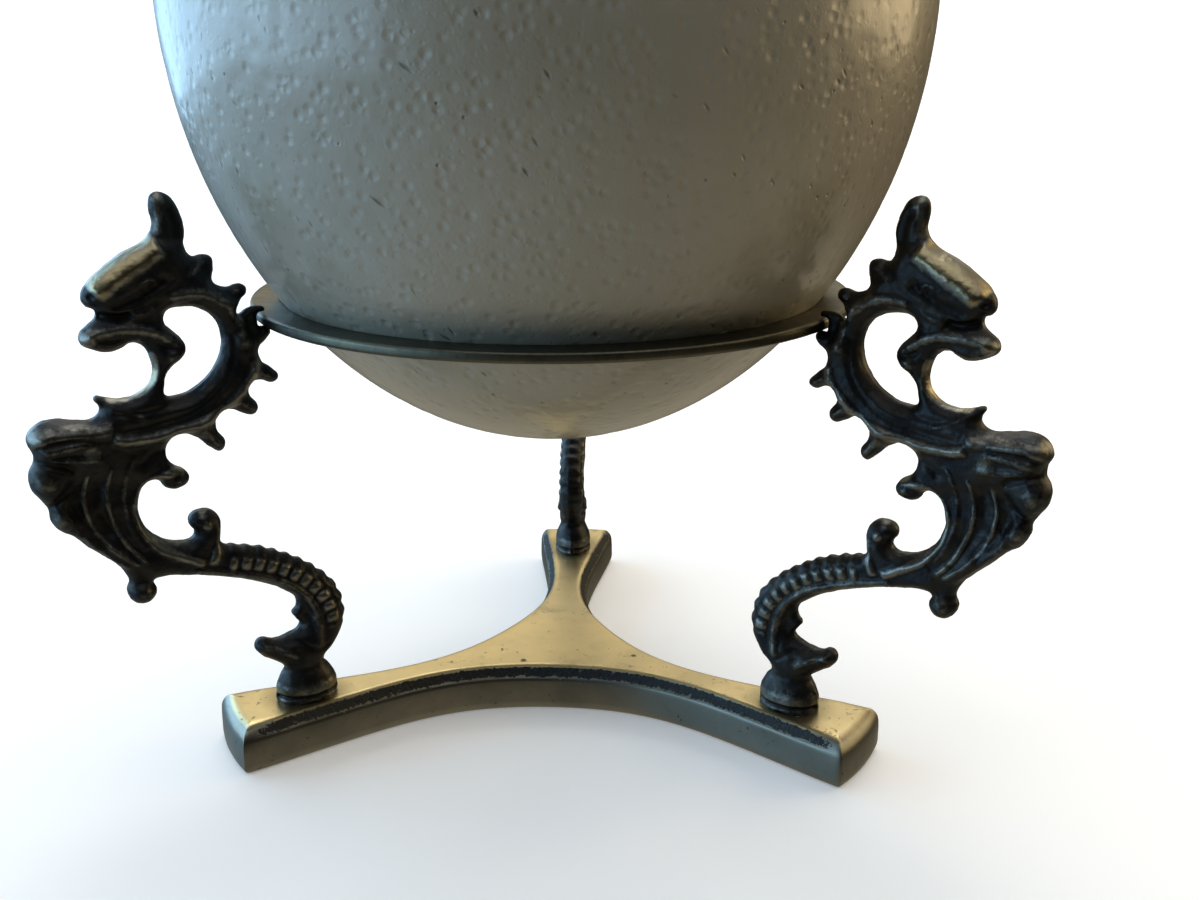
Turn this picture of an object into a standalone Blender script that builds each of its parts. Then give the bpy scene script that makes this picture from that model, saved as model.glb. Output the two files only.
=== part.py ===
"""Ostrich egg resting in the ring of a three-legged cast brass stand.

The stand's axis is +Z through the origin, and the origin is on the flat underside of the base
plate. One leg points to the rear (+Y), and the other two stand 120 degrees to each side of it.
Lengths below are millimetres, and MM turns them into metres.
"""

import math

import bmesh
import bpy
from mathutils import Matrix, Vector

MM = 0.001
FIT_GAP = 0.3

# The egg: half its length, half its width, and how much fuller its upper end is.
EGG_HALF_LENGTH = 74.0
EGG_HALF_WIDTH = 63.5
EGG_FULLNESS = 0.036
EGG_CENTRE_HEIGHT = 125.0
EGG_STEPS_AROUND = 40
EGG_STEPS_ALONG = 16

# The ring that the egg sits in.
RING_OUTER_RADIUS = 52.5
RING_TOP = 77.1
RING_THICKNESS = 1.8
RING_EDGE_ROUND = 0.6
RING_LIP = 0.35
RING_STEPS = 60

# The base plate: three arms with hollow sides between them.
ARM_ANGLES = {"rear": 90.0, "front_left": 210.0, "front_right": 330.0}
ARM_REACH = 63.4
ARM_END_HALF_WIDTH = 8.6
ARM_CORNER_ROUND = 1.2
ARM_END_BOW = 0.9
WAIST_DISTANCE = 12.6
WAIST_HANDLE = 21.0
ARM_FLARE = 8.5
ARM_HANDLE = 28.0
BASE_THICKNESS = 8.4
BASE_TOP_ROUND = 2.4

# Each leg stands on the base plate at this distance from the axis.
FOOT_DISTANCE = 49.0
FOOT_NARROWING = 0.74
LEG_PLATE_THICKNESS = 4.2

# The screws that hold the legs from below.
SHANK_RADIUS = 1.5
SCREW_TOP = 13.0
HEAD_RADIUS = 2.9
HEAD_BOTTOM = 0.6
HEAD_TOP = 2.6
SLOT_WIDTH = 0.8
SLOT_DEPTH = 0.9

# One leg seen from its side: (distance from the stand's axis, height above the table).
# The points run up the mane, over the ear, and down the face, the wing and the tail.
SHIN = [(45.9, 14.6), (43.6, 17.9), (41.9, 21.5), (41.8, 25.0), (43.2, 28.9), (46.2, 32.2),
        (50.0, 34.9), (54.5, 37.2), (59.0, 38.6), (61.6, 39.6)]
TAIL_CURL = [(61.7, 42.3), (62.6, 45.0), (64.7, 45.5), (66.2, 44.2), (65.9, 42.1)]
INNER_ARC = [(67.8, 40.9), (71.3, 42.0), (73.7, 45.2), (73.9, 49.0), (72.3, 51.7)]
BREAST_CURL = [(70.6, 52.0), (69.6, 50.2), (67.4, 50.2), (66.1, 51.9), (67.6, 53.9)]
MANE_LOWER = [(69.3, 55.6), (69.1, 57.8), (66.8, 59.1), (64.3, 58.5),
              (61.9, 56.0), (60.2, 55.3), (59.6, 56.6), (60.9, 59.2), (60.6, 61.4), (58.6, 62.2),
              (56.4, 61.0), (54.5, 60.6), (53.9, 61.9), (55.2, 64.4), (54.7, 66.0), (53.2, 66.3),
              (51.2, 65.6), (50.1, 66.2), (51.0, 67.9), (52.8, 69.6)]
RING_SHELF = [(53.0, 71.7), (51.4, 73.0), (50.8, 74.2), (51.5, 74.9), (53.5, 74.95), (55.1, 75.1)]
MANE_UPPER = [(56.0, 77.3), (55.4, 79.5), (54.1, 81.2), (55.0, 82.2), (57.6, 82.0),
              (59.5, 83.2), (59.0, 85.9), (60.2, 87.5), (62.4, 87.2)]
EAR = [(63.6, 89.0), (63.3, 92.2), (64.3, 95.7), (66.2, 97.2), (67.8, 95.8), (67.5, 92.2)]
FACE = [(69.3, 89.6), (73.4, 87.3), (77.2, 84.7), (78.8, 81.9), (77.5, 79.6), (78.2, 77.7),
        (79.8, 76.2), (79.1, 74.3), (76.0, 73.6), (73.6, 74.4)]
THROAT = [(70.9, 73.7), (69.5, 71.3), (69.6, 68.4), (71.6, 66.1), (75.2, 66.0), (78.6, 66.8)]
WING = [(78.3, 64.5), (80.4, 63.0), (85.0, 63.6), (88.3, 62.4), (89.1, 59.6), (88.3, 57.5),
        (89.5, 55.8), (89.6, 53.3), (87.9, 50.4), (87.6, 47.8), (86.0, 45.5), (83.5, 43.7),
        (80.5, 40.8), (77.8, 38.3)]
HANGING_BALL = [(77.1, 35.2), (76.2, 32.3), (74.4, 31.5), (72.8, 33.2), (72.4, 35.4)]
TAIL_UNDERSIDE = [(68.0, 35.0), (62.0, 33.6), (56.0, 31.4), (51.8, 29.0), (49.7, 26.6)]
SPURS = [(50.1, 24.4), (49.1, 22.7), (52.0, 20.8), (54.8, 20.5), (56.7, 21.1), (57.4, 19.6),
         (55.6, 17.5), (53.0, 15.4), (52.3, 13.0), (46.2, 13.0)]
LEG_OUTLINE = (SHIN + TAIL_CURL + INNER_ARC + BREAST_CURL + MANE_LOWER + RING_SHELF
               + MANE_UPPER + EAR + FACE + THROAT + WING + HANGING_BALL + TAIL_UNDERSIDE + SPURS)
THROAT_OPENING = [(69.0, 65.3), (66.0, 65.4), (62.8, 66.8), (60.0, 69.7), (58.7, 73.0),
                  (59.1, 76.3), (61.2, 78.7), (64.5, 79.6), (67.4, 79.0), (68.1, 76.6),
                  (66.5, 74.2), (65.3, 72.0), (66.9, 70.6), (68.5, 68.0)]

# The fuller parts of the leg, each a rounded lump on its side view: centre (distance, height),
# half length, half height, half thickness, and how far it is tipped up, in degrees.
LEG_LUMPS = {
    "head": ((72.0, 82.0), 8.2, 4.6, 3.6, -33.0),
    "neck": ((57.2, 73.0), 8.5, 2.9, 3.0, 90.0),
    "wing": ((80.5, 52.5), 11.5, 6.8, 4.0, 58.0),
    "hanging_ball": ((74.8, 33.9), 2.3, 2.6, 2.5, 0.0),
    "tail_curl": ((64.0, 43.3), 2.4, 2.4, 2.5, 0.0),
}


def clear_scene():
    """Start from an empty scene."""
    for old in list(bpy.data.objects):
        bpy.data.objects.remove(old)


def make_collection(name):
    """Add a collection to the scene."""
    collection = bpy.data.collections.new(name)
    bpy.context.scene.collection.children.link(collection)
    return collection


def make_material(name, colour, roughness, metallic):
    """A plain Principled material."""
    material = bpy.data.materials.new(name)
    material.use_nodes = True
    shader = material.node_tree.nodes["Principled BSDF"]
    shader.inputs["Base Color"].default_value = (*colour, 1.0)
    shader.inputs["Roughness"].default_value = roughness
    shader.inputs["Metallic"].default_value = metallic
    material.diffuse_color = (*colour, 1.0)
    return material


def link(obj, collection, material=None):
    """Put an object in a collection and give it its material."""
    collection.objects.link(obj)
    if material is not None:
        obj.data.materials.clear()
        obj.data.materials.append(material)
    return obj


def evaluated_mesh(obj, name):
    """The finished mesh of an object, with its modifiers applied and its seams closed."""
    graph = bpy.context.evaluated_depsgraph_get()
    mesh = bpy.data.meshes.new_from_object(obj.evaluated_get(graph))
    mesh.name = name
    work = bmesh.new()
    work.from_mesh(mesh)
    bmesh.ops.remove_doubles(work, verts=work.verts, dist=0.00001)
    work.to_mesh(mesh)
    work.free()
    return mesh


def turned(name, profile, steps, collection):
    """Turn a profile of (radius, height) points in millimetres once around the Z axis.

    The profile runs from its top down its outer side. Where it ends on the axis it is left open,
    and anywhere else its last point joins its first.
    """
    mesh = bpy.data.meshes.new(name)
    points = [(radius * MM, 0.0, height * MM) for radius, height in profile]
    edges = [(i, i + 1) for i in range(len(points) - 1)]
    if profile[0][0] > 0.0:
        edges.append((len(points) - 1, 0))
    mesh.from_pydata(points, edges, [])
    obj = bpy.data.objects.new(name, mesh)
    collection.objects.link(obj)
    screw = obj.modifiers.new("turn", "SCREW")
    screw.axis = "Z"
    screw.angle = math.tau
    screw.steps = steps
    screw.render_steps = steps
    screw.use_merge_vertices = True
    screw.merge_threshold = 0.00001
    screw.use_smooth_shade = True
    return obj


def outline_plate(name, loops, thickness, resolution, collection):
    """A flat plate of smooth closed outlines, in its own XY plane, centred on that plane.

    Each loop is a list of (x, y) points in millimetres. Loops inside the first one are holes.
    """
    curve = bpy.data.curves.new(name, "CURVE")
    curve.dimensions = "2D"
    curve.fill_mode = "BOTH"
    curve.extrude = thickness / 2 * MM
    curve.resolution_u = resolution
    curve.render_resolution_u = resolution
    for loop in loops:
        spline = curve.splines.new("BEZIER")
        spline.bezier_points.add(len(loop) - 1)
        spline.use_cyclic_u = True
        for point, (x, y) in zip(spline.bezier_points, loop):
            point.co = (x * MM, y * MM, 0.0)
            point.handle_left_type = "AUTO"
            point.handle_right_type = "AUTO"
    obj = bpy.data.objects.new(name, curve)
    collection.objects.link(obj)
    return obj


def curve_to_mesh_object(obj, name, collection):
    """Replace a curve object by a mesh object of the same shape, in the same place."""
    result = bpy.data.objects.new(name, evaluated_mesh(obj, name))
    result.matrix_world = obj.matrix_world.copy()
    collection.objects.link(result)
    bpy.data.objects.remove(obj)
    return result


def add_boolean(obj, other, operation):
    """Join another shape to this one, or cut it away."""
    modifier = obj.modifiers.new(f"{operation.lower()}_{other.name}", "BOOLEAN")
    modifier.operation = operation
    modifier.solver = "EXACT"
    modifier.object = other


def make_cutter(obj):
    """Mark a shape that only cuts others, so that it isn't part of the object."""
    obj.hide_render = True
    obj.display_type = "WIRE"
    return obj


def cylinder(name, radius, bottom, top, place, collection, segments=20):
    """An upright cylinder between two heights, at (x, y) in millimetres."""
    mesh = bpy.data.meshes.new(name)
    work = bmesh.new()
    middle = Vector((place[0], place[1], (bottom + top) / 2)) * MM
    bmesh.ops.create_cone(
        work, cap_ends=True, segments=segments, radius1=radius * MM, radius2=radius * MM,
        depth=(top - bottom) * MM, matrix=Matrix.Translation(middle))
    work.to_mesh(mesh)
    work.free()
    obj = bpy.data.objects.new(name, mesh)
    collection.objects.link(obj)
    return obj


def shade(obj, degrees=35.0):
    """Smooth shading with sharp edges where the surface turns hard."""
    obj.data.shade_smooth()
    obj.data.set_sharp_from_angle(angle=math.radians(degrees))


def arm_point(angle, distance, sideways=0.0):
    """A point in plan, measured along an arm of the stand and to its left."""
    turn = math.radians(angle)
    x = distance * math.cos(turn) - sideways * math.sin(turn)
    y = distance * math.sin(turn) + sideways * math.cos(turn)
    return (x, y)


def egg_radius(height):
    """Radius of the egg at a height above the table."""
    along = (height - EGG_CENTRE_HEIGHT) / EGG_HALF_LENGTH
    round_part = math.sqrt(max(0.0, 1.0 - along * along))
    return EGG_HALF_WIDTH * round_part * (1.0 + EGG_FULLNESS * along)


def make_egg(collection, material):
    """The egg: its outline from the top pole to the bottom pole, turned about the axis."""
    profile = []
    for i in range(EGG_STEPS_ALONG + 1):
        height = EGG_CENTRE_HEIGHT + EGG_HALF_LENGTH * math.cos(math.pi * i / EGG_STEPS_ALONG)
        on_axis = i in (0, EGG_STEPS_ALONG)
        profile.append((0.0 if on_axis else egg_radius(height), height))
    egg = turned("egg", profile, EGG_STEPS_AROUND, collection)
    egg.data.materials.append(material)
    return egg


def make_ring(collection, material):
    """A flat ring with rounded outer edges, whose inner lip the egg rests on."""
    inner = egg_radius(RING_TOP) + FIT_GAP
    outer = RING_OUTER_RADIUS
    bottom = RING_TOP - RING_THICKNESS
    rounding = RING_EDGE_ROUND
    profile = [
        (outer - rounding, RING_TOP),
        (outer, RING_TOP - rounding),
        (outer, bottom + rounding),
        (outer - rounding, bottom),
        (inner, bottom),
        (inner, RING_TOP - RING_LIP),
        (inner + RING_LIP, RING_TOP),
    ]
    ring = turned("ring", profile, RING_STEPS, collection)
    ring.data.materials.append(material)
    return ring


def base_outline():
    """Bezier points (place, handle before, handle after) around the base plate."""
    points = []
    end = ARM_REACH - ARM_END_BOW
    wide = ARM_END_HALF_WIDTH
    flare = math.radians(ARM_FLARE)
    back = end - ARM_HANDLE * math.cos(flare)
    narrow = wide - ARM_HANDLE * math.sin(flare)
    bowed = ARM_REACH + ARM_END_BOW / 3
    for angle in sorted(ARM_ANGLES.values()):
        waist_angle = angle + 60.0
        points.append((arm_point(angle, end, -wide), arm_point(angle, back, -narrow),
                       arm_point(angle, bowed, -wide / 3)))
        points.append((arm_point(angle, end, wide), arm_point(angle, bowed, wide / 3),
                       arm_point(angle, back, narrow)))
        points.append((arm_point(waist_angle, WAIST_DISTANCE),
                       arm_point(waist_angle, WAIST_DISTANCE, -WAIST_HANDLE),
                       arm_point(waist_angle, WAIST_DISTANCE, WAIST_HANDLE)))
    return points


def make_base(collection, cutters, material):
    """The three-armed plate, with its top edge rounded over and a recess for each screw."""
    curve = bpy.data.curves.new("base_outline", "CURVE")
    curve.dimensions = "2D"
    curve.fill_mode = "BOTH"
    curve.extrude = BASE_THICKNESS / 2 * MM
    curve.resolution_u = 5
    curve.render_resolution_u = 5
    outline = base_outline()
    spline = curve.splines.new("BEZIER")
    spline.bezier_points.add(len(outline) - 1)
    spline.use_cyclic_u = True
    for point, (place, before, after) in zip(spline.bezier_points, outline):
        point.handle_left_type = "FREE"
        point.handle_right_type = "FREE"
        point.co = (place[0] * MM, place[1] * MM, 0.0)
        point.handle_left = (before[0] * MM, before[1] * MM, 0.0)
        point.handle_right = (after[0] * MM, after[1] * MM, 0.0)
    flat = bpy.data.objects.new("base_outline", curve)
    collection.objects.link(flat)
    flat.location.z = BASE_THICKNESS / 2 * MM
    bpy.context.view_layer.update()
    base = curve_to_mesh_object(flat, "base_plate", collection)
    join_flat_faces(base.data)
    mark_rounded_edges(base.data)
    rounding = base.modifiers.new("rounded_edges", "BEVEL")
    rounding.limit_method = "WEIGHT"
    rounding.width = BASE_TOP_ROUND * MM
    rounding.segments = 2
    for name, angle in ARM_ANGLES.items():
        place = arm_point(angle, FOOT_DISTANCE)
        recess = cylinder(f"screw_recess_{name}", HEAD_RADIUS + FIT_GAP, -1.0,
                          HEAD_TOP + FIT_GAP, place, cutters)
        hole = cylinder(f"screw_hole_{name}", SHANK_RADIUS + FIT_GAP, -1.0,
                        BASE_THICKNESS + 1.0, place, cutters, 16)
        for cutter in (recess, hole):
            make_cutter(cutter)
            add_boolean(base, cutter, "DIFFERENCE")
    base.data.materials.append(material)
    return base


def join_flat_faces(mesh):
    """Make the top and the underside one face each, so that rounding the rim has room."""
    work = bmesh.new()
    work.from_mesh(mesh)
    bmesh.ops.dissolve_limit(work, angle_limit=math.radians(0.5), verts=work.verts,
                             edges=work.edges)
    work.to_mesh(mesh)
    work.free()


def mark_rounded_edges(mesh):
    """Weigh the edges that are rounded: the rim of the top face, and the arms' end corners."""
    weights = mesh.attributes.new("bevel_weight_edge", "FLOAT", "EDGE")
    normals = {}
    for polygon in mesh.polygons:
        for key in polygon.edge_keys:
            normals.setdefault(key, []).append(polygon.normal.copy())
    top = max(vertex.co.z for vertex in mesh.vertices)
    for edge in mesh.edges:
        first, second = normals[edge.key]
        turn = math.degrees(first.angle(second))
        heights = [mesh.vertices[i].co.z for i in edge.vertices]
        if turn > 60.0 and min(heights) > top - 1e-6:
            weights.data[edge.index].value = 1.0
        elif turn > 60.0 and max(heights) - min(heights) > 1e-6:
            weights.data[edge.index].value = ARM_CORNER_ROUND / BASE_TOP_ROUND


def lump(name, place, half_length, half_height, half_thickness, tip, collection):
    """A rounded lump on the side view of a leg, whose plane is XZ."""
    mesh = bpy.data.meshes.new(name)
    work = bmesh.new()
    shape = (Matrix.Translation(Vector((place[0], 0.0, place[1])) * MM)
             @ Matrix.Rotation(-math.radians(tip), 4, "Y")
             @ Matrix.Diagonal((half_length * MM, half_thickness * MM, half_height * MM, 1.0)))
    bmesh.ops.create_uvsphere(work, u_segments=10, v_segments=6, radius=1.0, matrix=shape)
    work.to_mesh(mesh)
    work.free()
    obj = bpy.data.objects.new(name, mesh)
    collection.objects.link(obj)
    return obj


def make_foot(collection):
    """The vase-shaped foot: a collar, a full bulb and a neck, narrowed from side to side."""
    floor = BASE_THICKNESS + FIT_GAP
    profile = [(0.0, 17.5), (3.5, 17.5), (3.5, 15.3), (4.5, 13.4), (5.25, 11.4), (5.1, 9.9),
               (4.7, 9.4), (5.25, 9.2), (5.25, floor), (0.0, floor)]
    foot = turned("foot_shape", profile, 16, collection)
    foot.location.x = FOOT_DISTANCE * MM
    foot.scale.y = FOOT_NARROWING
    return foot


def make_claw(collection):
    """The claw on the ring shelf, bent over the ring's edge to hold it down."""
    inner = RING_OUTER_RADIUS + FIT_GAP
    over = RING_TOP + FIT_GAP
    outline = [(inner, 74.5), (inner, over), (inner - 1.8, over), (inner - 1.8, over + 0.7),
               (inner - 0.6, over + 1.1), (inner + 0.9, over + 0.5), (inner + 1.3, over - 1.2),
               (inner + 1.3, 74.5)]
    mesh = bpy.data.meshes.new("claw_shape")
    work = bmesh.new()
    corners = [work.verts.new((x * MM, 1.1 * MM, z * MM)) for x, z in outline]
    face = work.faces.new(corners)
    swept = bmesh.ops.extrude_face_region(work, geom=[face])
    moved = [item for item in swept["geom"] if isinstance(item, bmesh.types.BMVert)]
    bmesh.ops.translate(work, verts=moved, vec=(0.0, -2.2 * MM, 0.0))
    bmesh.ops.recalc_face_normals(work, faces=work.faces)
    work.to_mesh(mesh)
    work.free()
    obj = bpy.data.objects.new("claw_shape", mesh)
    collection.objects.link(obj)
    return obj


def leg_mesh(shapes):
    """One leg along +X: the flat casting with its lumps, foot and claw, and its screw hole."""
    plate = outline_plate("leg_outline", [LEG_OUTLINE, THROAT_OPENING], LEG_PLATE_THICKNESS, 2,
                          shapes)
    plate.rotation_euler.x = math.pi / 2
    bpy.context.view_layer.update()
    leg = curve_to_mesh_object(plate, "leg_shape", shapes)
    extras = [lump(name, *values, shapes) for name, values in LEG_LUMPS.items()]
    extras.append(make_foot(shapes))
    extras.append(make_claw(shapes))
    for extra in extras:
        make_cutter(extra)
        add_boolean(leg, extra, "UNION")
    bore = cylinder("leg_screw_hole", SHANK_RADIUS + FIT_GAP, BASE_THICKNESS - 1.0,
                    SCREW_TOP + FIT_GAP, (FOOT_DISTANCE, 0.0), shapes, 16)
    make_cutter(bore)
    add_boolean(leg, bore, "DIFFERENCE")
    mesh = evaluated_mesh(leg, "leg")
    mesh.transform(leg.matrix_world)
    bpy.data.objects.remove(leg)
    return mesh


def make_legs(collection, shapes, material):
    """Three legs from one casting."""
    mesh = leg_mesh(shapes)
    mesh.materials.clear()
    mesh.materials.append(material)
    for name, angle in ARM_ANGLES.items():
        leg = bpy.data.objects.new(f"leg_{name}", mesh)
        leg.rotation_euler.z = math.radians(angle)
        collection.objects.link(leg)
        shade(leg)


def make_screws(collection, cutters, material):
    """A slotted screw under each leg, recessed in the base plate."""
    for name, angle in ARM_ANGLES.items():
        profile = [(0.0, SCREW_TOP), (SHANK_RADIUS, SCREW_TOP), (SHANK_RADIUS, HEAD_TOP),
                   (HEAD_RADIUS, HEAD_TOP), (HEAD_RADIUS, HEAD_BOTTOM), (0.0, HEAD_BOTTOM)]
        screw = turned(f"screw_{name}", profile, 16, collection)
        x, y = arm_point(angle, FOOT_DISTANCE)
        screw.location = (x * MM, y * MM, 0.0)
        slot_mesh = bpy.data.meshes.new(f"screw_slot_{name}")
        work = bmesh.new()
        bmesh.ops.create_cube(work, size=1.0)
        work.to_mesh(slot_mesh)
        work.free()
        slot = bpy.data.objects.new(f"screw_slot_{name}", slot_mesh)
        slot.scale = (SLOT_WIDTH * MM, 3 * HEAD_RADIUS * MM, 2 * SLOT_DEPTH * MM)
        slot.location = (x * MM, y * MM, HEAD_BOTTOM * MM)
        slot.rotation_euler.z = math.radians(angle + 25.0)
        cutters.objects.link(slot)
        make_cutter(slot)
        add_boolean(screw, slot, "DIFFERENCE")
        screw.data.materials.append(material)


def main():
    """Build every piece of the egg and its stand."""
    clear_scene()
    parts = make_collection("ostrich_egg_on_stand")
    cutters = make_collection("cutters")
    shell = make_material("eggshell", (0.78, 0.73, 0.61), 0.35, 0.0)
    brass = make_material("brass", (0.56, 0.44, 0.22), 0.35, 1.0)
    dark_brass = make_material("dark_brass", (0.09, 0.08, 0.065), 0.5, 0.8)
    steel = make_material("screw_steel", (0.35, 0.34, 0.32), 0.4, 1.0)
    make_egg(parts, shell)
    make_ring(parts, brass)
    make_base(parts, cutters, brass)
    make_legs(parts, cutters, dark_brass)
    make_screws(parts, cutters, steel)


main()
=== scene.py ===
# %% [markdown]
# # An ostrich egg on a dragon-legged brass stand
#
# This notebook finishes a model whose solid pieces are already placed. It sets up the camera, a
# pale studio and soft lights, and then makes each visible piece again with the detail a maker
# would see up close: the pitted shell, the turned ring, the cast base plate and the three
# dragon legs. Every piece is made where it belongs, so that nothing is moved afterwards.

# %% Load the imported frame
import math
import random

import bpy
import numpy as np
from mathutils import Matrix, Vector, kdtree, noise


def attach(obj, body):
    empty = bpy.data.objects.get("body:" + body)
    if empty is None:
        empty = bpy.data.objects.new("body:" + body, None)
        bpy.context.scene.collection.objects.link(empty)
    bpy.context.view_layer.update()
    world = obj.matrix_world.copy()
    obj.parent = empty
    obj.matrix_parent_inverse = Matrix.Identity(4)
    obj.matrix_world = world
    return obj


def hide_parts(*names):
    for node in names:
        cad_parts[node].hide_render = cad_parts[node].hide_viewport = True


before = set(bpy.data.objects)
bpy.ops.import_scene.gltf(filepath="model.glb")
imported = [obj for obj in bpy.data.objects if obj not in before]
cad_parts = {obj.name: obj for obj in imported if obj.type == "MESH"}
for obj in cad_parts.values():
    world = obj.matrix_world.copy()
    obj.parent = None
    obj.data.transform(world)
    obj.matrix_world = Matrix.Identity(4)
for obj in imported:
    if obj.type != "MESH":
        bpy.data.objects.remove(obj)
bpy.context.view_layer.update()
MM = 0.001
print("pieces in the frame:", ", ".join(sorted(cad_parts)))

# %% [markdown]
# ## The camera
#
# The view is close and a little from above, as when somebody bends down to look at the stand.
# The egg is taller than the view, so its upper end runs out of the picture. A camera in Blender
# looks down its own -Z axis, so it is tipped up from straight down by 90 degrees less the angle
# at which it looks down.

# %% Place the camera
CAMERA_DISTANCE = 235.6
CAMERA_SWING = 4.6
CAMERA_HEIGHT = 119.2
LOOK_DOWN = 17.12
LOOK_LEFT = 2.57
LENS_MM = 39.95

swing = math.radians(CAMERA_SWING)
bpy.ops.object.camera_add(
    location=(CAMERA_DISTANCE * math.sin(swing) * MM, -CAMERA_DISTANCE * math.cos(swing) * MM,
              CAMERA_HEIGHT * MM),
    rotation=(math.radians(90.0 - LOOK_DOWN), 0.0, math.radians(LOOK_LEFT)))
camera = bpy.context.object
camera.name = "camera"
camera.data.lens = LENS_MM
camera.data.sensor_width = 36.0
camera.data.clip_start = 0.005
camera.data.clip_end = 20.0
bpy.context.scene.camera = camera
print("camera stands", round(camera.location.length, 3), "m from the middle of the stand")

# %% [markdown]
# ## Small tools for nodes
#
# The studio and every finish are made of nodes, and a node takes several lines to add, set and
# link. These short functions take that up, so that a finish reads as what it does: a cloud or
# scattered cells give a pattern, stretch sets its range, blend turns it into colour and relief
# into bumps. Each one is handed the function that adds nodes to its own tree.

# %% Small helpers for nodes
def node_adder(tree):
    """A function that adds a node to this tree, with its inputs and settings."""
    def add(kind, inputs=None, **settings):
        node = tree.nodes.new(kind)
        for key, value in settings.items():
            setattr(node, key, value)
        for key, value in (inputs or {}).items():
            if isinstance(value, bpy.types.NodeSocket):
                tree.links.new(value, node.inputs[key])
            else:
                node.inputs[key].default_value = value
        return node

    return add


def new_finish(name):
    """A material with its shader, a function that adds nodes to it, and its links."""
    material = bpy.data.materials.new(name)
    material.use_nodes = True
    tree = material.node_tree
    return material, tree.nodes["Principled BSDF"], node_adder(tree), tree.links


def cloud(add, place, scale, detail=3.0, roughness=0.55):
    """A soft random pattern from 0 to 1."""
    return add("ShaderNodeTexNoise", {"Vector": place, "Scale": scale, "Detail": detail,
                                      "Roughness": roughness}).outputs["Fac"]


def cells(add, place, scale):
    """Many scattered points: the distance to the nearest, and a random colour for each."""
    return add("ShaderNodeTexVoronoi", {"Vector": place, "Scale": scale})


def stretch(add, value, low, high, to_low=0.0, to_high=1.0, smooth=False):
    """Rescale a pattern from one range to another, held at both ends."""
    return add("ShaderNodeMapRange",
               {"Value": value, "From Min": low, "From Max": high, "To Min": to_low,
                "To Max": to_high}, clamp=True,
               interpolation_type="SMOOTHSTEP" if smooth else "LINEAR").outputs["Result"]


def blend(add, share, first, second):
    """Mix two colours."""
    return add("ShaderNodeMix", {0: share, 6: first, 7: second}, data_type="RGBA").outputs[2]


def maths(add, operation, first, second):
    """One step of arithmetic between two patterns or numbers."""
    return add("ShaderNodeMath", {0: first, 1: second}, operation=operation).outputs[0]


def relief(add, height, depth, below=None):
    """Bump of a real depth in metres, on top of another bump."""
    inputs = {"Height": height, "Distance": depth, "Strength": 1.0}
    if below is not None:
        inputs["Normal"] = below
    return add("ShaderNodeBump", inputs).outputs["Normal"]


print("tools for nodes ready")

# %% [markdown]
# ## The studio
#
# A floor that curves up into a wall all the way round gives a plain pale ground from every
# side, with no corner to see. It is one line of points spun about the stand's axis. The camera
# sees it, but the shell and the brass don't mirror it, so they keep their dark fronts, and its
# wall glows a little so that it stays pale beyond the reach of the lights.
#
# The air is bright overhead and dim near the horizon, as under a big soft ceiling light. A wide
# light behind the stand is what the polished base mirrors, and a cool light at the left and a
# warm one at the right stand for a window and a lamp. They draw the round form of the shell.


# %% Make the floor and its curved wall
def pick(obj):
    """Select this object alone, so that an operator acts on nothing else."""
    if bpy.context.mode != "OBJECT":
        bpy.ops.object.mode_set(mode="OBJECT")
    bpy.ops.object.select_all(action="DESELECT")
    obj.select_set(True)
    bpy.context.view_layer.objects.active = obj


def select_where(obj, kind, test):
    """In edit mode, select the vertices, edges or polygons that pass a test, and no others."""
    bpy.ops.object.mode_set(mode="EDIT")
    bpy.ops.mesh.select_mode(type={"vertices": "VERT", "edges": "EDGE", "polygons": "FACE"}[kind])
    bpy.ops.mesh.select_all(action="DESELECT")
    bpy.ops.object.mode_set(mode="OBJECT")
    for item in getattr(obj.data, kind):
        item.select = bool(test(item))
    bpy.ops.object.mode_set(mode="EDIT")


def spin_profile(name, profile, steps):
    """Spin a line of (radius, height) points in millimetres once about the Z axis."""
    bpy.ops.object.select_all(action="DESELECT")
    bpy.ops.mesh.primitive_plane_add(size=0.01)
    obj = bpy.context.object
    obj.name = name
    select_where(obj, "vertices", lambda vertex: True)
    bpy.ops.mesh.delete(type="VERT")
    bpy.ops.object.mode_set(mode="OBJECT")
    points = [(radius * MM, 0.0, height * MM) for radius, height in profile]
    obj.data.from_pydata(points, [(i, i + 1) for i in range(len(points) - 1)], [])
    select_where(obj, "vertices", lambda vertex: True)
    bpy.ops.mesh.spin(steps=steps, angle=math.tau, center=(0.0, 0.0, 0.0), axis=(0.0, 0.0, 1.0))
    bpy.ops.mesh.select_all(action="SELECT")
    bpy.ops.mesh.remove_doubles(threshold=0.01 * MM)
    bpy.ops.mesh.normals_make_consistent(inside=False)
    bpy.ops.object.mode_set(mode="OBJECT")
    bpy.ops.object.shade_smooth()
    return obj


FLOOR_RADIUS = 1000.0
WALL_RADIUS = 700.0
WALL_HEIGHT = 1900.0
floor_profile = [(0.0, 0.0), (300.0, 0.0), (FLOOR_RADIUS, 0.0)]
for step in range(1, 17):
    turn = math.radians(90.0 * step / 16)
    floor_profile.append((FLOOR_RADIUS + WALL_RADIUS * math.sin(turn),
                          WALL_RADIUS * (1.0 - math.cos(turn))))
floor_profile.append((FLOOR_RADIUS + WALL_RADIUS, WALL_HEIGHT))
floor = spin_profile("studio_floor", floor_profile, 96)
floor.visible_diffuse = False
floor.visible_glossy = False

FLOOR_WHITE = (0.86, 0.86, 0.855, 1.0)
GLOW_WHITE = (1.0, 1.0, 1.0, 1.0)
WALL_STARTS = (0.02, 0.30)
FLOOR_AND_WALL_GLOW = (0.2, 0.6)

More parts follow.
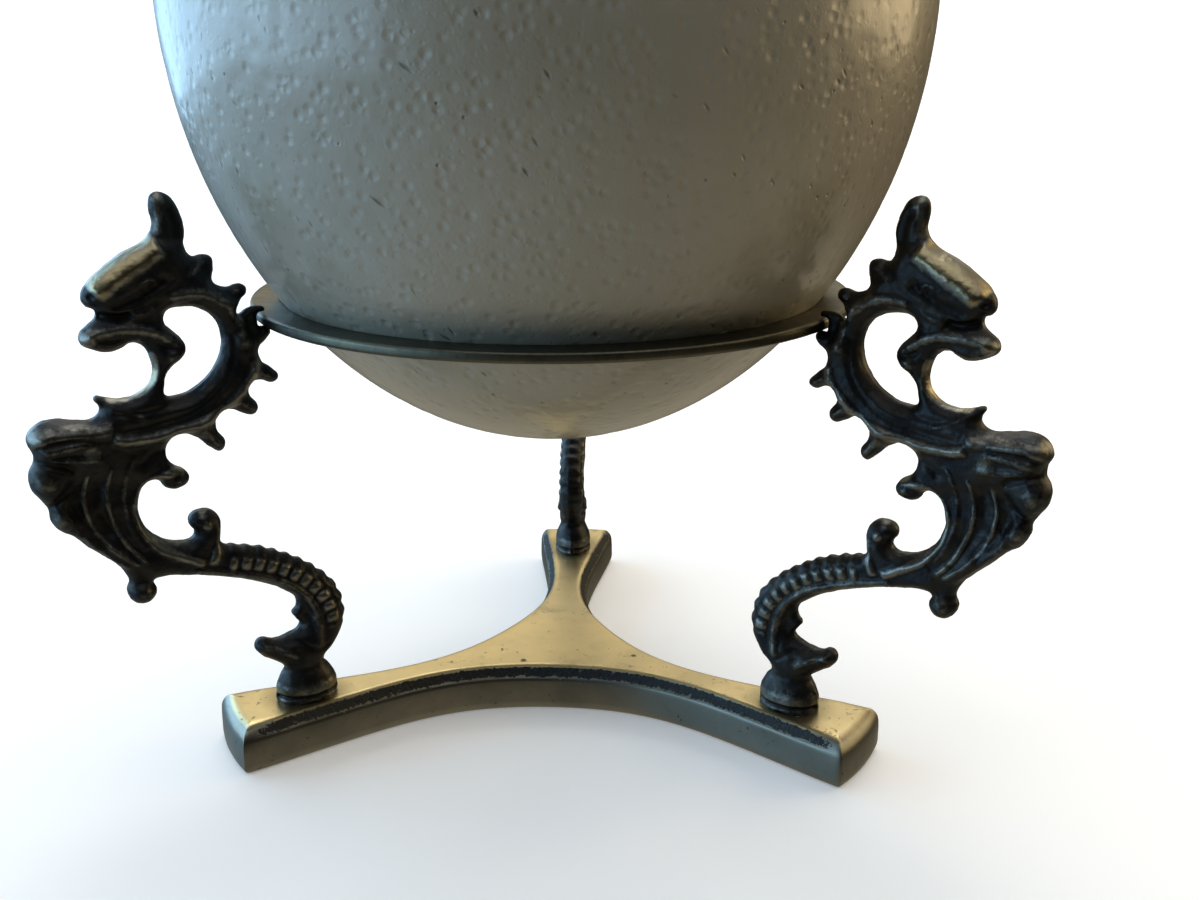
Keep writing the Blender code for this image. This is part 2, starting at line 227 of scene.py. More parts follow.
floor_paint, shader, add, links = new_finish("pale floor")
place = add("ShaderNodeTexCoord").outputs["Object"]
height = add("ShaderNodeSeparateXYZ", {"Vector": place}).outputs["Z"]
shader.inputs["Base Color"].default_value = FLOOR_WHITE
shader.inputs["Roughness"].default_value = 0.9
shader.inputs["Specular IOR Level"].default_value = 0.1
shader.inputs["Emission Color"].default_value = GLOW_WHITE
links.new(stretch(add, height, *WALL_STARTS, *FLOOR_AND_WALL_GLOW),
          shader.inputs["Emission Strength"])
floor.data.materials.append(floor_paint)
print("the floor is", 2 * (FLOOR_RADIUS + WALL_RADIUS) * MM, "m across")


# %% Hang the lights
def soft_light(name, place, size, watts, colour):
    """A soft light, (width, height) in size, that shines at the stand and isn't seen itself."""
    aim = Vector((0.0, 0.0, 0.09)) - Vector(place)
    bpy.ops.object.light_add(type="AREA", location=place,
                             rotation=aim.to_track_quat("-Z", "Y").to_euler())
    light = bpy.context.object
    light.name = name
    light.data.shape = "RECTANGLE"
    light.data.size, light.data.size_y = size
    light.data.energy = watts
    light.data.color = colour
    light.visible_camera = False
    return light


soft_light("overhead", (0.0, 0.75, 1.20), (0.9, 0.9), 7.5, (1.0, 0.97, 0.92))
soft_light("back", (0.0, 1.50, 0.76), (2.2, 1.0), 5.2, (1.0, 0.90, 0.68))
soft_light("window", (-1.10, 0.38, 0.37), (1.6, 0.9), 16.0, (0.42, 0.70, 1.0))
soft_light("window_fill", (-0.90, -0.50, 0.14), (0.8, 0.5), 3.8, (0.44, 0.72, 1.0))
soft_light("lamp", (0.95, 0.32, 0.36), (0.7, 0.7), 4.4, (1.0, 0.76, 0.42))

AIR_BRIGHTNESS = 1.15
# The colour of the air from straight down (0) past the horizon (0.5) to straight up (1).
AIR = [(0.0, (0.36, 0.33, 0.26)), (0.22, (0.36, 0.32, 0.24)), (0.36, (0.03, 0.028, 0.024)),
       (0.50, (0.016, 0.016, 0.015)), (0.78, (0.035, 0.035, 0.035)), (0.96, (0.95, 0.97, 0.98)),
       (1.0, (1.0, 1.0, 1.0))]

# Low on the left the table would send back the cool light of the window.
WINDOW_GLOW = (0.24, 0.37, 0.50, 1.0)
WINDOW_GLOW_ACROSS = (-0.42, -0.85)
WINDOW_GLOW_DOWN = (0.02, -0.22)

air = bpy.data.worlds.new("studio air")
air.use_nodes = True
add, links = node_adder(air.node_tree), air.node_tree.links
direction = add("ShaderNodeTexCoord").outputs["Generated"]
ways = add("ShaderNodeSeparateXYZ", {"Vector": direction}).outputs
ramp = add("ShaderNodeValToRGB", {"Fac": stretch(add, ways["Z"], -1.0, 1.0)})
stops = ramp.color_ramp.elements
ramp.color_ramp.interpolation = "EASE"
for share, _ in AIR[1:-1]:
    stops.new(share)
for stop, (share, colour) in zip(stops, AIR):
    stop.position = share
    stop.color = (*colour, 1.0)
low_left = maths(add, "MULTIPLY", stretch(add, ways["X"], *WINDOW_GLOW_ACROSS, smooth=True),
                 stretch(add, ways["Z"], *WINDOW_GLOW_DOWN, smooth=True))
background = air.node_tree.nodes["Background"]
links.new(blend(add, low_left, ramp.outputs["Color"], WINDOW_GLOW), background.inputs["Color"])
background.inputs["Strength"].default_value = AIR_BRIGHTNESS
bpy.context.scene.world = air
bpy.context.scene.view_settings.view_transform = "Standard"
print("five soft lights hung under a bright ceiling")

# %% [markdown]
# ## The shell
#
# An ostrich shell is one closed form, a little fuller at one end, and its surface is covered in
# shallow pits. A sphere with poles would crowd its faces at the ends, so the start is a cube,
# subdivided until it is round, which spreads the faces evenly. Each point is then set out by the
# same formula as the solid egg. The pits are real dents: many places are drawn at random, and
# the skin around each one is pressed in a few hundredths of a millimetre.

# %% Shape the egg
EGG_HALF_LENGTH = 74.0
EGG_HALF_WIDTH = 63.5
EGG_FULLNESS = 0.036
EGG_CENTRE_HEIGHT = 125.0


def read_points(obj):
    """All vertex places of a mesh, in millimetres, one row each."""
    places = np.empty(len(obj.data.vertices) * 3)
    obj.data.vertices.foreach_get("co", places)
    return places.reshape(-1, 3) / MM


def write_points(obj, places):
    """Put the vertices at new places, given in millimetres."""
    obj.data.vertices.foreach_set("co", (places * MM).ravel())
    obj.data.update()


def apply_modifier(obj, kind, **settings):
    """Add a modifier, set it up and apply it at once."""
    pick(obj)
    bpy.ops.object.modifier_add(type=kind)
    modifier = obj.modifiers[-1]
    for name, value in settings.items():
        setattr(modifier, name, value)
    bpy.ops.object.modifier_apply(modifier=modifier.name)


bpy.ops.object.select_all(action="DESELECT")
bpy.ops.mesh.primitive_cube_add(size=2.0 * EGG_HALF_WIDTH * MM)
egg = bpy.context.object
egg.name = "egg_shell"
apply_modifier(egg, "SUBSURF", levels=7, render_levels=7)
sphere = read_points(egg)
sphere /= np.linalg.norm(sphere, axis=1)[:, None]
width = EGG_HALF_WIDTH * (1.0 + EGG_FULLNESS * sphere[:, 2])
shell = np.column_stack([sphere[:, 0] * width, sphere[:, 1] * width,
                         EGG_CENTRE_HEIGHT + EGG_HALF_LENGTH * sphere[:, 2]])
print("egg:", len(egg.data.polygons), "faces")

# %% Press the pits into the shell
PIT_COUNT = 5200
PIT_RADIUS = (1.0, 1.8)
PIT_DEPTH = (0.04, 0.15)
SWELL_SIZE = 9.0
SWELL_DEPTH = 0.05

chance = random.Random(21)
tree = kdtree.KDTree(len(shell))
for index, place in enumerate(shell):
    tree.insert(place, index)
tree.balance()
pressed = np.zeros(len(shell))
for _ in range(PIT_COUNT):
    along = chance.uniform(-1.0, 1.0)
    around = chance.uniform(0.0, math.tau)
    across = math.sqrt(1.0 - along * along) * EGG_HALF_WIDTH * (1.0 + EGG_FULLNESS * along)
    centre = (across * math.cos(around), across * math.sin(around),
              EGG_CENTRE_HEIGHT + EGG_HALF_LENGTH * along)
    reach = chance.uniform(*PIT_RADIUS)
    depth = chance.uniform(*PIT_DEPTH) * reach / PIT_RADIUS[1]
    for _, index, distance in tree.find_range(centre, reach):
        share = 1.0 - (distance / reach) ** 2
        pressed[index] = max(pressed[index], depth * share * share)
swell = np.array([noise.noise(Vector(place) / SWELL_SIZE) for place in shell])
write_points(egg, shell - sphere * (pressed + SWELL_DEPTH * (1.0 + swell) / 2)[:, None])
pick(egg)
bpy.ops.object.shade_smooth()
print("pits up to", round(float(pressed.max()), 3), "mm deep")

# %% [markdown]
# ## The shell's finish
#
# The shell is ivory, a little yellower in some places and greyer in others, under a natural
# gloss like glazed pottery. A clear coat over a satin body gives that double look. Pits finer
# than the mesh come from the bump of scattered soft marks. A few pores, round or drawn out into
# short slanting marks, have caught dirt and show dark. All the patterns read Object coordinates
# in metres, so a scale of 450 makes cells a little over two millimetres across.


# %% Finish the shell
def spot_marks(add, place, scale, share, low, high):
    """Scattered marks: only a share of the cells get one, with a soft edge from low to high."""
    scattered = cells(add, place, scale)
    draw = add("ShaderNodeSeparateColor", {"Color": scattered.outputs["Color"]}).outputs[0]
    shape = stretch(add, scattered.outputs["Distance"], low, high, 1.0, 0.0, smooth=True)
    return maths(add, "MULTIPLY", stretch(add, draw, 1.0 - share, 1.01 - share), shape)


def slanted(add, place, turn, scale):
    """Coordinates turned and stretched, so that round marks become short slanting ones."""
    return add("ShaderNodeMapping", {"Vector": place, "Rotation": turn, "Scale": scale},
               vector_type="TEXTURE").outputs["Vector"]


WARM_IVORY = (0.38, 0.345, 0.265, 1.0)
GREY_IVORY = (0.43, 0.405, 0.335, 1.0)
FINE_SHADE = (0.36, 0.33, 0.25, 1.0)
PORE_DIRT = (0.085, 0.07, 0.048, 1.0)
SOFT_PIT_DEPTH = 0.00019
SMALL_PIT_DEPTH = 0.00005
PINPRICK_DEPTH = 0.00002
RIPPLE_DEPTH = 0.00012
PORE_DEPTH = 0.00025

ivory, shader, add, links = new_finish("ivory ostrich shell")
place = add("ShaderNodeTexCoord").outputs["Object"]
broad = stretch(add, cloud(add, place, 22.0, 4.0), 0.35, 0.65)
fine = stretch(add, cloud(add, place, 260.0, 3.0), 0.35, 0.7)
colour = blend(add, broad, WARM_IVORY, GREY_IVORY)
colour = blend(add, maths(add, "MULTIPLY", fine, 0.40), colour, FINE_SHADE)
round_pores = spot_marks(add, place, 230.0, 0.5, 0.0, 0.085)
long_pores = spot_marks(add, slanted(add, place, (0.3, -0.6, 0.2), (1.0, 1.0, 2.8)), 300.0, 0.8,
                        0.0, 0.12)
scratches = spot_marks(add, slanted(add, place, (-0.4, -0.9, 0.5), (1.0, 1.0, 4.5)), 230.0,
                       0.8, 0.0, 0.09)
pores = maths(add, "MAXIMUM", maths(add, "MAXIMUM", round_pores, long_pores), scratches)
colour = blend(add, maths(add, "MULTIPLY", pores, 0.72), colour, PORE_DIRT)
links.new(colour, shader.inputs["Base Color"])
soft_pits = spot_marks(add, place, 450.0, 1.0, 0.0, 0.48)
small_pits = spot_marks(add, place, 760.0, 0.6, 0.0, 0.36)
pinpricks = stretch(add, cells(add, place, 1400.0).outputs["Distance"], 0.0, 0.4)
normal = relief(add, soft_pits, -SOFT_PIT_DEPTH)
normal = relief(add, small_pits, -SMALL_PIT_DEPTH, normal)
normal = relief(add, pinpricks, PINPRICK_DEPTH, normal)
normal = relief(add, cloud(add, place, 420.0, 3.0), RIPPLE_DEPTH, normal)
normal = relief(add, pores, -PORE_DEPTH, normal)
links.new(normal, shader.inputs["Normal"])
links.new(stretch(add, cloud(add, place, 90.0), 0.3, 0.7, 0.36, 0.50), shader.inputs["Roughness"])
shader.inputs["Coat Weight"].default_value = 0.85
shader.inputs["Coat Roughness"].default_value = 0.22
egg.data.materials.append(ivory)
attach(egg, "root")
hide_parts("egg")
print("shell finished")

# %% [markdown]
# ## The ring
#
# The egg sits in a flat brass ring. It starts as a short cylinder: both flat faces are inset and
# bridged to open the hole, and the edges are rounded by a bevel. Castings like this are filed by
# hand, so the ring gets a slight wave, far smaller than its thickness.

# %% Make the ring
RING_OUTER = 52.5
RING_TOP = 77.1
RING_THICKNESS = 1.8
RING_INNER = 47.1
OUTER_ROUNDING = 0.62
INNER_ROUNDING = 0.3
FACE_BORDER = 0.35
FILE_WAVE = 0.05
RING_BOTTOM = RING_TOP - RING_THICKNESS

bpy.ops.object.select_all(action="DESELECT")
bpy.ops.mesh.primitive_cylinder_add(
    vertices=256, radius=RING_OUTER * MM, depth=RING_THICKNESS * MM, end_fill_type="NGON",
    location=(0.0, 0.0, (RING_TOP + RING_BOTTOM) / 2 * MM))
ring = bpy.context.object
ring.name = "egg_ring"
bpy.ops.object.transform_apply(location=True, rotation=True, scale=True)
select_where(ring, "polygons", lambda face: abs(face.normal.z) > 0.9)
bpy.ops.mesh.inset(thickness=(RING_OUTER - RING_INNER) * MM, use_even_offset=True)
bpy.ops.mesh.bridge_edge_loops()
bpy.ops.object.mode_set(mode="OBJECT")


def edge_middle(obj, edge):
    """(distance from the axis, height) of the middle of an edge, in millimetres."""
    first, second = (obj.data.vertices[index].co for index in edge.vertices)
    middle = (first + second) / 2
    return math.hypot(middle.x, middle.y) / MM, middle.z / MM


def is_around(obj, edge):
    """Whether an edge runs level around the axis."""
    first, second = (obj.data.vertices[index].co for index in edge.vertices)
    return (abs(first.z - second.z) < 0.01 * MM
            and abs(math.hypot(first.x, first.y) - math.hypot(second.x, second.y)) < 0.01 * MM)


for outside, rounding in ((True, OUTER_ROUNDING), (False, INNER_ROUNDING)):
    select_where(ring, "edges", lambda edge: is_around(ring, edge) and (
        (edge_middle(ring, edge)[0] > (RING_OUTER + RING_INNER) / 2) == outside))
    bpy.ops.mesh.bevel(offset=rounding * MM, segments=5, profile=0.55)
    bpy.ops.object.mode_set(mode="OBJECT")
select_where(ring, "polygons", lambda face: abs(face.normal.z) > 0.95)
bpy.ops.mesh.inset(thickness=FACE_BORDER * MM, use_even_offset=True)
bpy.ops.object.mode_set(mode="OBJECT")
places = read_points(ring)
turns = np.arctan2(places[:, 1], places[:, 0])
outer_share = np.clip((np.hypot(places[:, 0], places[:, 1]) - RING_INNER)
                      / (RING_OUTER - RING_INNER), 0.0, 1.0)
places[:, 2] += FILE_WAVE * np.sin(3.0 * turns + 0.6) * outer_share
filed = 1.0 - outer_share * (0.0010 + 0.0010 * np.sin(7.0 * turns + 1.0))
places[:, :2] *= filed[:, None]
write_points(ring, places)
pick(ring)
bpy.ops.object.shade_smooth_by_angle(angle=math.radians(40.0))
print("ring:", len(ring.data.polygons), "faces")

# %% Finish the ring
RING_GREEN_GOLD = (0.15, 0.138, 0.095, 1.0)
RING_TARNISH = (0.09, 0.092, 0.074, 1.0)
RING_STAIN = (0.05, 0.052, 0.042, 1.0)

ring_brass, shader, add, links = new_finish("aged ring brass")
place = add("ShaderNodeTexCoord").outputs["Object"]
tarnish = stretch(add, cloud(add, place, 70.0, 5.0, 0.65), 0.35, 0.68)
colour = blend(add, tarnish, RING_GREEN_GOLD, RING_TARNISH)
stain = stretch(add, cloud(add, place, 520.0, 4.0, 0.7), 0.50, 0.72)
colour = blend(add, maths(add, "MULTIPLY", stain, 0.6), colour, RING_STAIN)
links.new(colour, shader.inputs["Base Color"])
shader.inputs["Metallic"].default_value = 1.0
links.new(stretch(add, tarnish, 0.0, 1.0, 0.34, 0.48), shader.inputs["Roughness"])
scuffs = cloud(add, place, 900.0, 4.0, 0.7)
links.new(relief(add, scuffs, 0.00003), shader.inputs["Normal"])
ring.data.materials.append(ring_brass)
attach(ring, "root")
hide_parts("ring")
print("ring finished")

# %% [markdown]
# ## The base plate
#
# The base is a casting with three arms and hollow sides. Its top is polished, and the polishing
# wheel never reached the narrow ledge just under the top edge, which stays black and rough.
# The outline is drawn once as a closed curve and filled. The face is then pushed up in rows, and
# each row is drawn in by its own amount: straight up the side, in over the ledge, and round
# onto the top. The ends of the arms have no ledge, only a round edge, so every row has one
# amount for the sides and one for the ends.

# %% Draw the outline of the base
ARMS = {"rear": 90.0, "front_left": 210.0, "front_right": 330.0}
ARM_REACH = 63.4
ARM_HALF_WIDTH = 8.6
ARM_END_BOW = 0.9
ARM_FLARE = math.radians(8.5)
ARM_HANDLE = 28.0
WAIST_DISTANCE = 12.6
WAIST_HANDLE = 21.0
CORNER_ROUND = 1.5


def arm_point(angle, distance, sideways=0.0):
    """A place in plan, measured along an arm and to its left."""
    turn = math.radians(angle)
    return (distance * math.cos(turn) - sideways * math.sin(turn),
            distance * math.sin(turn) + sideways * math.cos(turn))


def closed_curve(name, loops, automatic):
    """A flat filled curve from loops of (place, handle before, handle after) in millimetres."""
    bpy.ops.object.select_all(action="DESELECT")
    bpy.ops.curve.primitive_bezier_circle_add()
    obj = bpy.context.object
    obj.name = name
    obj.data.dimensions = "2D"
    obj.data.splines.clear()
    for loop in loops:
        spline = obj.data.splines.new("BEZIER")
        spline.bezier_points.add(len(loop) - 1)
        spline.use_cyclic_u = True
        for point, (place, before, after) in zip(spline.bezier_points, loop):
            point.handle_left_type = point.handle_right_type = "AUTO" if automatic else "FREE"
            point.co = (place[0] * MM, place[1] * MM, 0.0)
            if not automatic:
                point.handle_left = (before[0] * MM, before[1] * MM, 0.0)
                point.handle_right = (after[0] * MM, after[1] * MM, 0.0)
    return obj


end = ARM_REACH - ARM_END_BOW
narrow = ARM_HALF_WIDTH - ARM_HANDLE * math.sin(ARM_FLARE)
back = end - ARM_HANDLE * math.cos(ARM_FLARE)
bowed = ARM_REACH + ARM_END_BOW / 3
outline = []
for angle in sorted(ARMS.values()):
    outline.append((arm_point(angle, end, -ARM_HALF_WIDTH), arm_point(angle, back, -narrow),
                    arm_point(angle, bowed, -ARM_HALF_WIDTH / 3)))
    outline.append((arm_point(angle, end, ARM_HALF_WIDTH),
                    arm_point(angle, bowed, ARM_HALF_WIDTH / 3), arm_point(angle, back, narrow)))
    outline.append((arm_point(angle + 60.0, WAIST_DISTANCE),
                    arm_point(angle + 60.0, WAIST_DISTANCE, -WAIST_HANDLE),
                    arm_point(angle + 60.0, WAIST_DISTANCE, WAIST_HANDLE)))
base = closed_curve("base_casting", [outline], automatic=False)
base.data.fill_mode = "NONE"
base.data.resolution_u = 40
pick(base)
bpy.ops.object.convert(target="MESH")
corners = [Vector(arm_point(angle, end, side)).to_3d() * MM
           for angle in ARMS.values() for side in (-ARM_HALF_WIDTH, ARM_HALF_WIDTH)]
select_where(base, "vertices", lambda vertex: min(
    (vertex.co - corner).length for corner in corners) < 0.05 * MM)
bpy.ops.mesh.bevel(offset=CORNER_ROUND * MM, segments=8, affect="VERTICES")
bpy.ops.mesh.select_all(action="SELECT")
bpy.ops.mesh.remove_doubles(threshold=0.02 * MM)
bpy.ops.object.mode_set(mode="OBJECT")
print("outline:", len(base.data.vertices), "points")

# %% Raise the outline in levels
# Each level: its height, how far it is drawn in along the sides, and how far at the arms' ends.
BASE_LEVELS = [
    (0.0, 0.9, 1.1), (0.2, 0.5, 0.6), (0.5, 0.22, 0.28), (1.0, 0.05, 0.08), (1.7, 0.0, 0.0),
    (4.2, 0.0, 0.02), (5.6, 0.02, 0.10), (6.1, 0.06, 0.2), (6.3, 0.14, 0.26), (6.48, 0.29, 0.32),
    (6.75, 0.5, 0.44), (7.1, 0.74, 0.64), (7.45, 0.97, 0.88), (7.8, 1.18, 1.2),
    (8.02, 1.32, 1.5), (8.18, 1.46, 1.85), (8.28, 1.62, 2.15), (8.36, 1.88, 2.6),
    (8.4, 2.25, 3.15), (8.4, 2.75, 3.7)]
LEDGE_BOTTOM = 6.4
LEDGE_TOP = 8.08
LEDGE_END = 1.4
LEDGE_FADE = 6.0
SQUEEZE = 12.0
CORNER_LEFT = 0.35

select_where(base, "vertices", lambda vertex: True)
for _ in BASE_LEVELS[1:]:
    bpy.ops.mesh.extrude_region_move(TRANSFORM_OT_translate={"value": (0.0, 0.0, MM)})
bpy.ops.mesh.edge_face_add()
select_where(base, "vertices", lambda vertex: vertex.co.z < 0.5 * MM)
bpy.ops.mesh.edge_face_add()
bpy.ops.mesh.select_all(action="SELECT")
bpy.ops.mesh.normals_make_consistent(inside=False)
bpy.ops.object.mode_set(mode="OBJECT")
print("base:", len(base.data.polygons), "faces in", len(BASE_LEVELS), "levels")


# %% Give every level its height and its inset
def smooth_step(low, high, value):
    """0 below low, 1 above high, and an even rise between."""
    share = np.clip((value - low) / (high - low), 0.0, 1.0)
    return share * share * (3.0 - 2.0 * share)


def arm_frame(points):
    """For each place in plan, the directions along and across the arm that it belongs to."""
    angles = np.radians(sorted(ARMS.values()))
    turns = np.arctan2(points[:, 1], points[:, 0])
    away = np.abs((turns[:, None] - angles + math.pi) % math.tau - math.pi)
    arm = angles[np.argmin(away, axis=1)]
    return (np.column_stack([np.cos(arm), np.sin(arm)]),
            np.column_stack([-np.sin(arm), np.cos(arm)]))


places = read_points(base)
levels = np.rint(places[:, 2]).astype(int)
underside = min((face for face in base.data.polygons if len(face.vertices) > 10),
                key=lambda face: face.center.z)
loop = places[list(underside.vertices)][:, :2]
ahead = np.roll(loop, -1, axis=0) - np.roll(loop, 1, axis=0)
ahead /= np.linalg.norm(ahead, axis=1)[:, None]
outward = np.column_stack([-ahead[:, 1], ahead[:, 0]])
along_arm, across_arm = arm_frame(loop)
reach = np.sum(loop * along_arm, axis=1)

# Near an arm's end the work is done in one quarter of the arm: u along it, v away from its middle.
u, v = reach, np.abs(np.sum(loop * across_arm, axis=1))
left = np.sign(np.sum(loop * across_arm, axis=1))
corner = np.array([end, ARM_HALF_WIDTH])
side_way = np.array([math.cos(ARM_FLARE), math.sin(ARM_FLARE)])
end_way = np.array([end - bowed, 2 * ARM_HALF_WIDTH / 3])
end_way /= -np.linalg.norm(end_way)
side_normal = np.array([-side_way[1], side_way[0]])
end_normal = np.array([-end_way[1], end_way[0]])
at_corner = np.hypot(u - corner[0], v - corner[1]) < 1.03 * CORNER_ROUND
at_end = (u > corner[0] - 0.5) & ~at_corner
pull = np.clip((u - (end - SQUEEZE)) / (SQUEEZE - CORNER_ROUND), 0.0, 1.0) * ~at_end


def drawn_in(side_inset, end_inset):
    """The outline drawn in by one amount along the sides and another at the arms' ends."""
    near_end = smooth_step(ARM_REACH - LEDGE_END - LEDGE_FADE, ARM_REACH - LEDGE_END, reach)
    inset = side_inset + (end_inset - side_inset) * near_end
    moved = loop - outward * inset[:, None]
    new_u = np.sum(moved * along_arm, axis=1)
    new_v = np.abs(np.sum(moved * across_arm, axis=1))
    shrink = max(CORNER_ROUND - end_inset, CORNER_LEFT) / CORNER_ROUND
    new_corner = corner - np.linalg.solve(np.array([side_normal, end_normal]),
                                          np.array([end_inset, end_inset]))
    slip = (new_corner - corner) @ side_way + CORNER_ROUND * (1.0 - shrink)
    new_u, new_v = new_u + slip * pull * side_way[0], new_v + slip * pull * side_way[1]
    new_u = np.where(at_corner, new_corner[0] + (u - corner[0]) * shrink, new_u)
    new_v = np.where(at_corner, new_corner[1] + (v - corner[1]) * shrink, new_v)
    narrower = ((new_corner + CORNER_ROUND * shrink * end_way)[1]
                / (corner + CORNER_ROUND * end_way)[1])
    new_u = np.where(at_end, u - end_inset, new_u)
    new_v = np.where(at_end, v * narrower, new_v)
    return along_arm * new_u[:, None] + across_arm * (left * new_v)[:, None]


spots = {tuple(np.round(place, 3)): index for index, place in enumerate(loop)}
which = np.array([spots[tuple(np.round(place, 3))] for place in places[:, :2]])
for number, (height, side_inset, end_inset) in enumerate(BASE_LEVELS):
    row = levels == number
    places[row, :2] = drawn_in(side_inset, end_inset)[which[row]]
    places[row, 2] = height
write_points(base, places)
print("base is", round(float(np.ptp(places[:, 0])), 1), "mm wide and",
      round(float(places[:, 2].max()), 2), "mm thick")

# %% Cut the screw recesses and mark the ledge
FOOT_DISTANCE = 49.0
RECESS_RADIUS = 3.2
RECESS_TOP = 2.9
SCREW_HOLE_RADIUS = 1.8
SCREW_HOLE_TOP = 9.5
BELOW = 1.0
LEDGE_TAPER = 9.0

for angle in ARMS.values():
    for radius, top in ((RECESS_RADIUS, RECESS_TOP), (SCREW_HOLE_RADIUS, SCREW_HOLE_TOP)):
        x, y = arm_point(angle, FOOT_DISTANCE)
        bpy.ops.object.select_all(action="DESELECT")
        bpy.ops.mesh.primitive_cylinder_add(
            vertices=40, radius=radius * MM, depth=(top + BELOW) * MM,
            location=(x * MM, y * MM, (top - BELOW) / 2 * MM))
        drill = bpy.context.object
        apply_modifier(base, "BOOLEAN", operation="DIFFERENCE", solver="EXACT", object=drill)
        bpy.data.objects.remove(drill)

places = read_points(base)
along_arm, across_arm = arm_frame(places[:, :2])
reach = np.sum(places[:, :2] * along_arm, axis=1)
# The mark fades over a few tenths of a millimetre, so that the finish can fray its edges.
ledge_end = smooth_step(ARM_REACH - LEDGE_END - LEDGE_TAPER, ARM_REACH - LEDGE_END, reach)
ledge = (smooth_step(LEDGE_BOTTOM - 0.2, LEDGE_BOTTOM + 0.6, places[:, 2])
         * (1.0 - smooth_step(LEDGE_TOP - 0.35 - 0.6 * ledge_end, LEDGE_TOP + 0.2, places[:, 2]))
         * (1.0 - smooth_step(0.6, 1.0, ledge_end)))
base.data.attributes.new("ledge", "FLOAT", "POINT").data.foreach_set("value", ledge)
pick(base)
bpy.ops.object.shade_smooth_by_angle(angle=math.radians(32.0))
print("ledge marked on", int((ledge > 0.5).sum()), "points")

# %% Finish the base
POLISHED_GOLD = (0.66, 0.53, 0.275, 1.0)
TARNISHED_GOLD = (0.53, 0.435, 0.24, 1.0)
FLANK_BRASS = (0.25, 0.24, 0.195, 1.0)
TARNISHED_FLANK = (0.18, 0.178, 0.15, 1.0)
SMUDGE_BROWN = (0.20, 0.165, 0.09, 1.0)
# Painted shade round each leg's foot.
PAINTED_FOOT_SHADE = (0.07, 0.065, 0.045, 1.0)
DENT_DIRT = (0.045, 0.04, 0.03, 1.0)
LEDGE_BLACK = (0.011, 0.013, 0.013, 1.0)
BASE_TOP = BASE_LEVELS[-1][0] * MM

base_brass, shader, add, links = new_finish("polished base brass")
coordinates = add("ShaderNodeTexCoord").outputs["Object"]
height = add("ShaderNodeSeparateXYZ", {"Vector": coordinates}).outputs["Z"]
on_top = stretch(add, height, 0.0079, 0.0082)
tarnish = stretch(add, cloud(add, coordinates, 55.0, 5.0, 0.6), 0.38, 0.66)
gold = blend(add, tarnish, POLISHED_GOLD, TARNISHED_GOLD)
flank = blend(add, tarnish, FLANK_BRASS, TARNISHED_FLANK)
colour = blend(add, on_top, flank, gold)
smudge = stretch(add, cloud(add, coordinates, 120.0, 5.0, 0.7), 0.56, 0.74)
colour = blend(add, maths(add, "MULTIPLY", smudge, 0.5), colour, SMUDGE_BROWN)
# Painted shade: the top is darkened in a ring round each leg's foot, where the foot stands on it,
# a little more where the brown stains lie.
for angle in ARMS.values():
    foot = (*(side * MM for side in arm_point(angle, FOOT_DISTANCE)), BASE_TOP)
    apart = add("ShaderNodeVectorMath", {0: coordinates, 1: foot},
                operation="DISTANCE").outputs["Value"]
    foot_shade = stretch(add, apart, 0.0053, 0.0088, 0.70, 0.0)
    foot_shade = maths(add, "MULTIPLY", foot_shade, stretch(add, smudge, 0.0, 1.0, 0.75, 1.0))
    colour = blend(add, foot_shade, colour, PAINTED_FOOT_SHADE)
dents = spot_marks(add, coordinates, 200.0, 0.12, 0.05, 0.14)
colour = blend(add, maths(add, "MULTIPLY", dents, 0.8), colour, DENT_DIRT)
grit = cloud(add, coordinates, 1500.0, 3.0, 0.7)
tufts = cloud(add, coordinates, 520.0, 3.0, 0.6)
ledge_mark = add("ShaderNodeAttribute", attribute_name="ledge").outputs["Fac"]
ragged = maths(add, "ADD", ledge_mark, stretch(add, grit, 0.3, 0.7, -0.42, 0.42))
ragged = maths(add, "ADD", ragged, stretch(add, tufts, 0.3, 0.7, -0.30, 0.30))
patina = stretch(add, ragged, 0.42, 0.62)
colour = blend(add, patina, colour, LEDGE_BLACK)
links.new(colour, shader.inputs["Base Color"])
links.new(stretch(add, patina, 0.0, 1.0, 1.0, 0.25), shader.inputs["Metallic"])
satin = stretch(add, tarnish, 0.0, 1.0, 0.33, 0.44)
rough = add("ShaderNodeMix", {0: patina, 2: satin, 3: 0.58}, data_type="FLOAT").outputs[0]
links.new(rough, shader.inputs["Roughness"])
rub = cloud(add, coordinates, 700.0, 4.0, 0.7)
normal = relief(add, rub, 0.00002)
normal = relief(add, cloud(add, coordinates, 90.0, 2.0), 0.00018, normal)
normal = relief(add, dents, -0.00025, normal)
normal = relief(add, maths(add, "MULTIPLY", grit, patina), 0.00035, normal)
links.new(normal, shader.inputs["Normal"])
base.data.materials.append(base_brass)
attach(base, "root")
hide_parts("base_plate")
print("base finished")

# %% [markdown]
# ## The dragon leg
#
# Each leg is one flat casting, worked on both faces: a dragon's head and neck, a scalloped wing
# and a beaded tail that stands on a vase-shaped foot. The caster carved one pattern and cast it
# three times, so the leg is made once and copied. The way to it is the caster's way. First the
# outline is drawn and cut as a thin plate of small even faces. Then both faces are raised, each
# point by an amount found from its distance to the outline and to the lines of the carving.

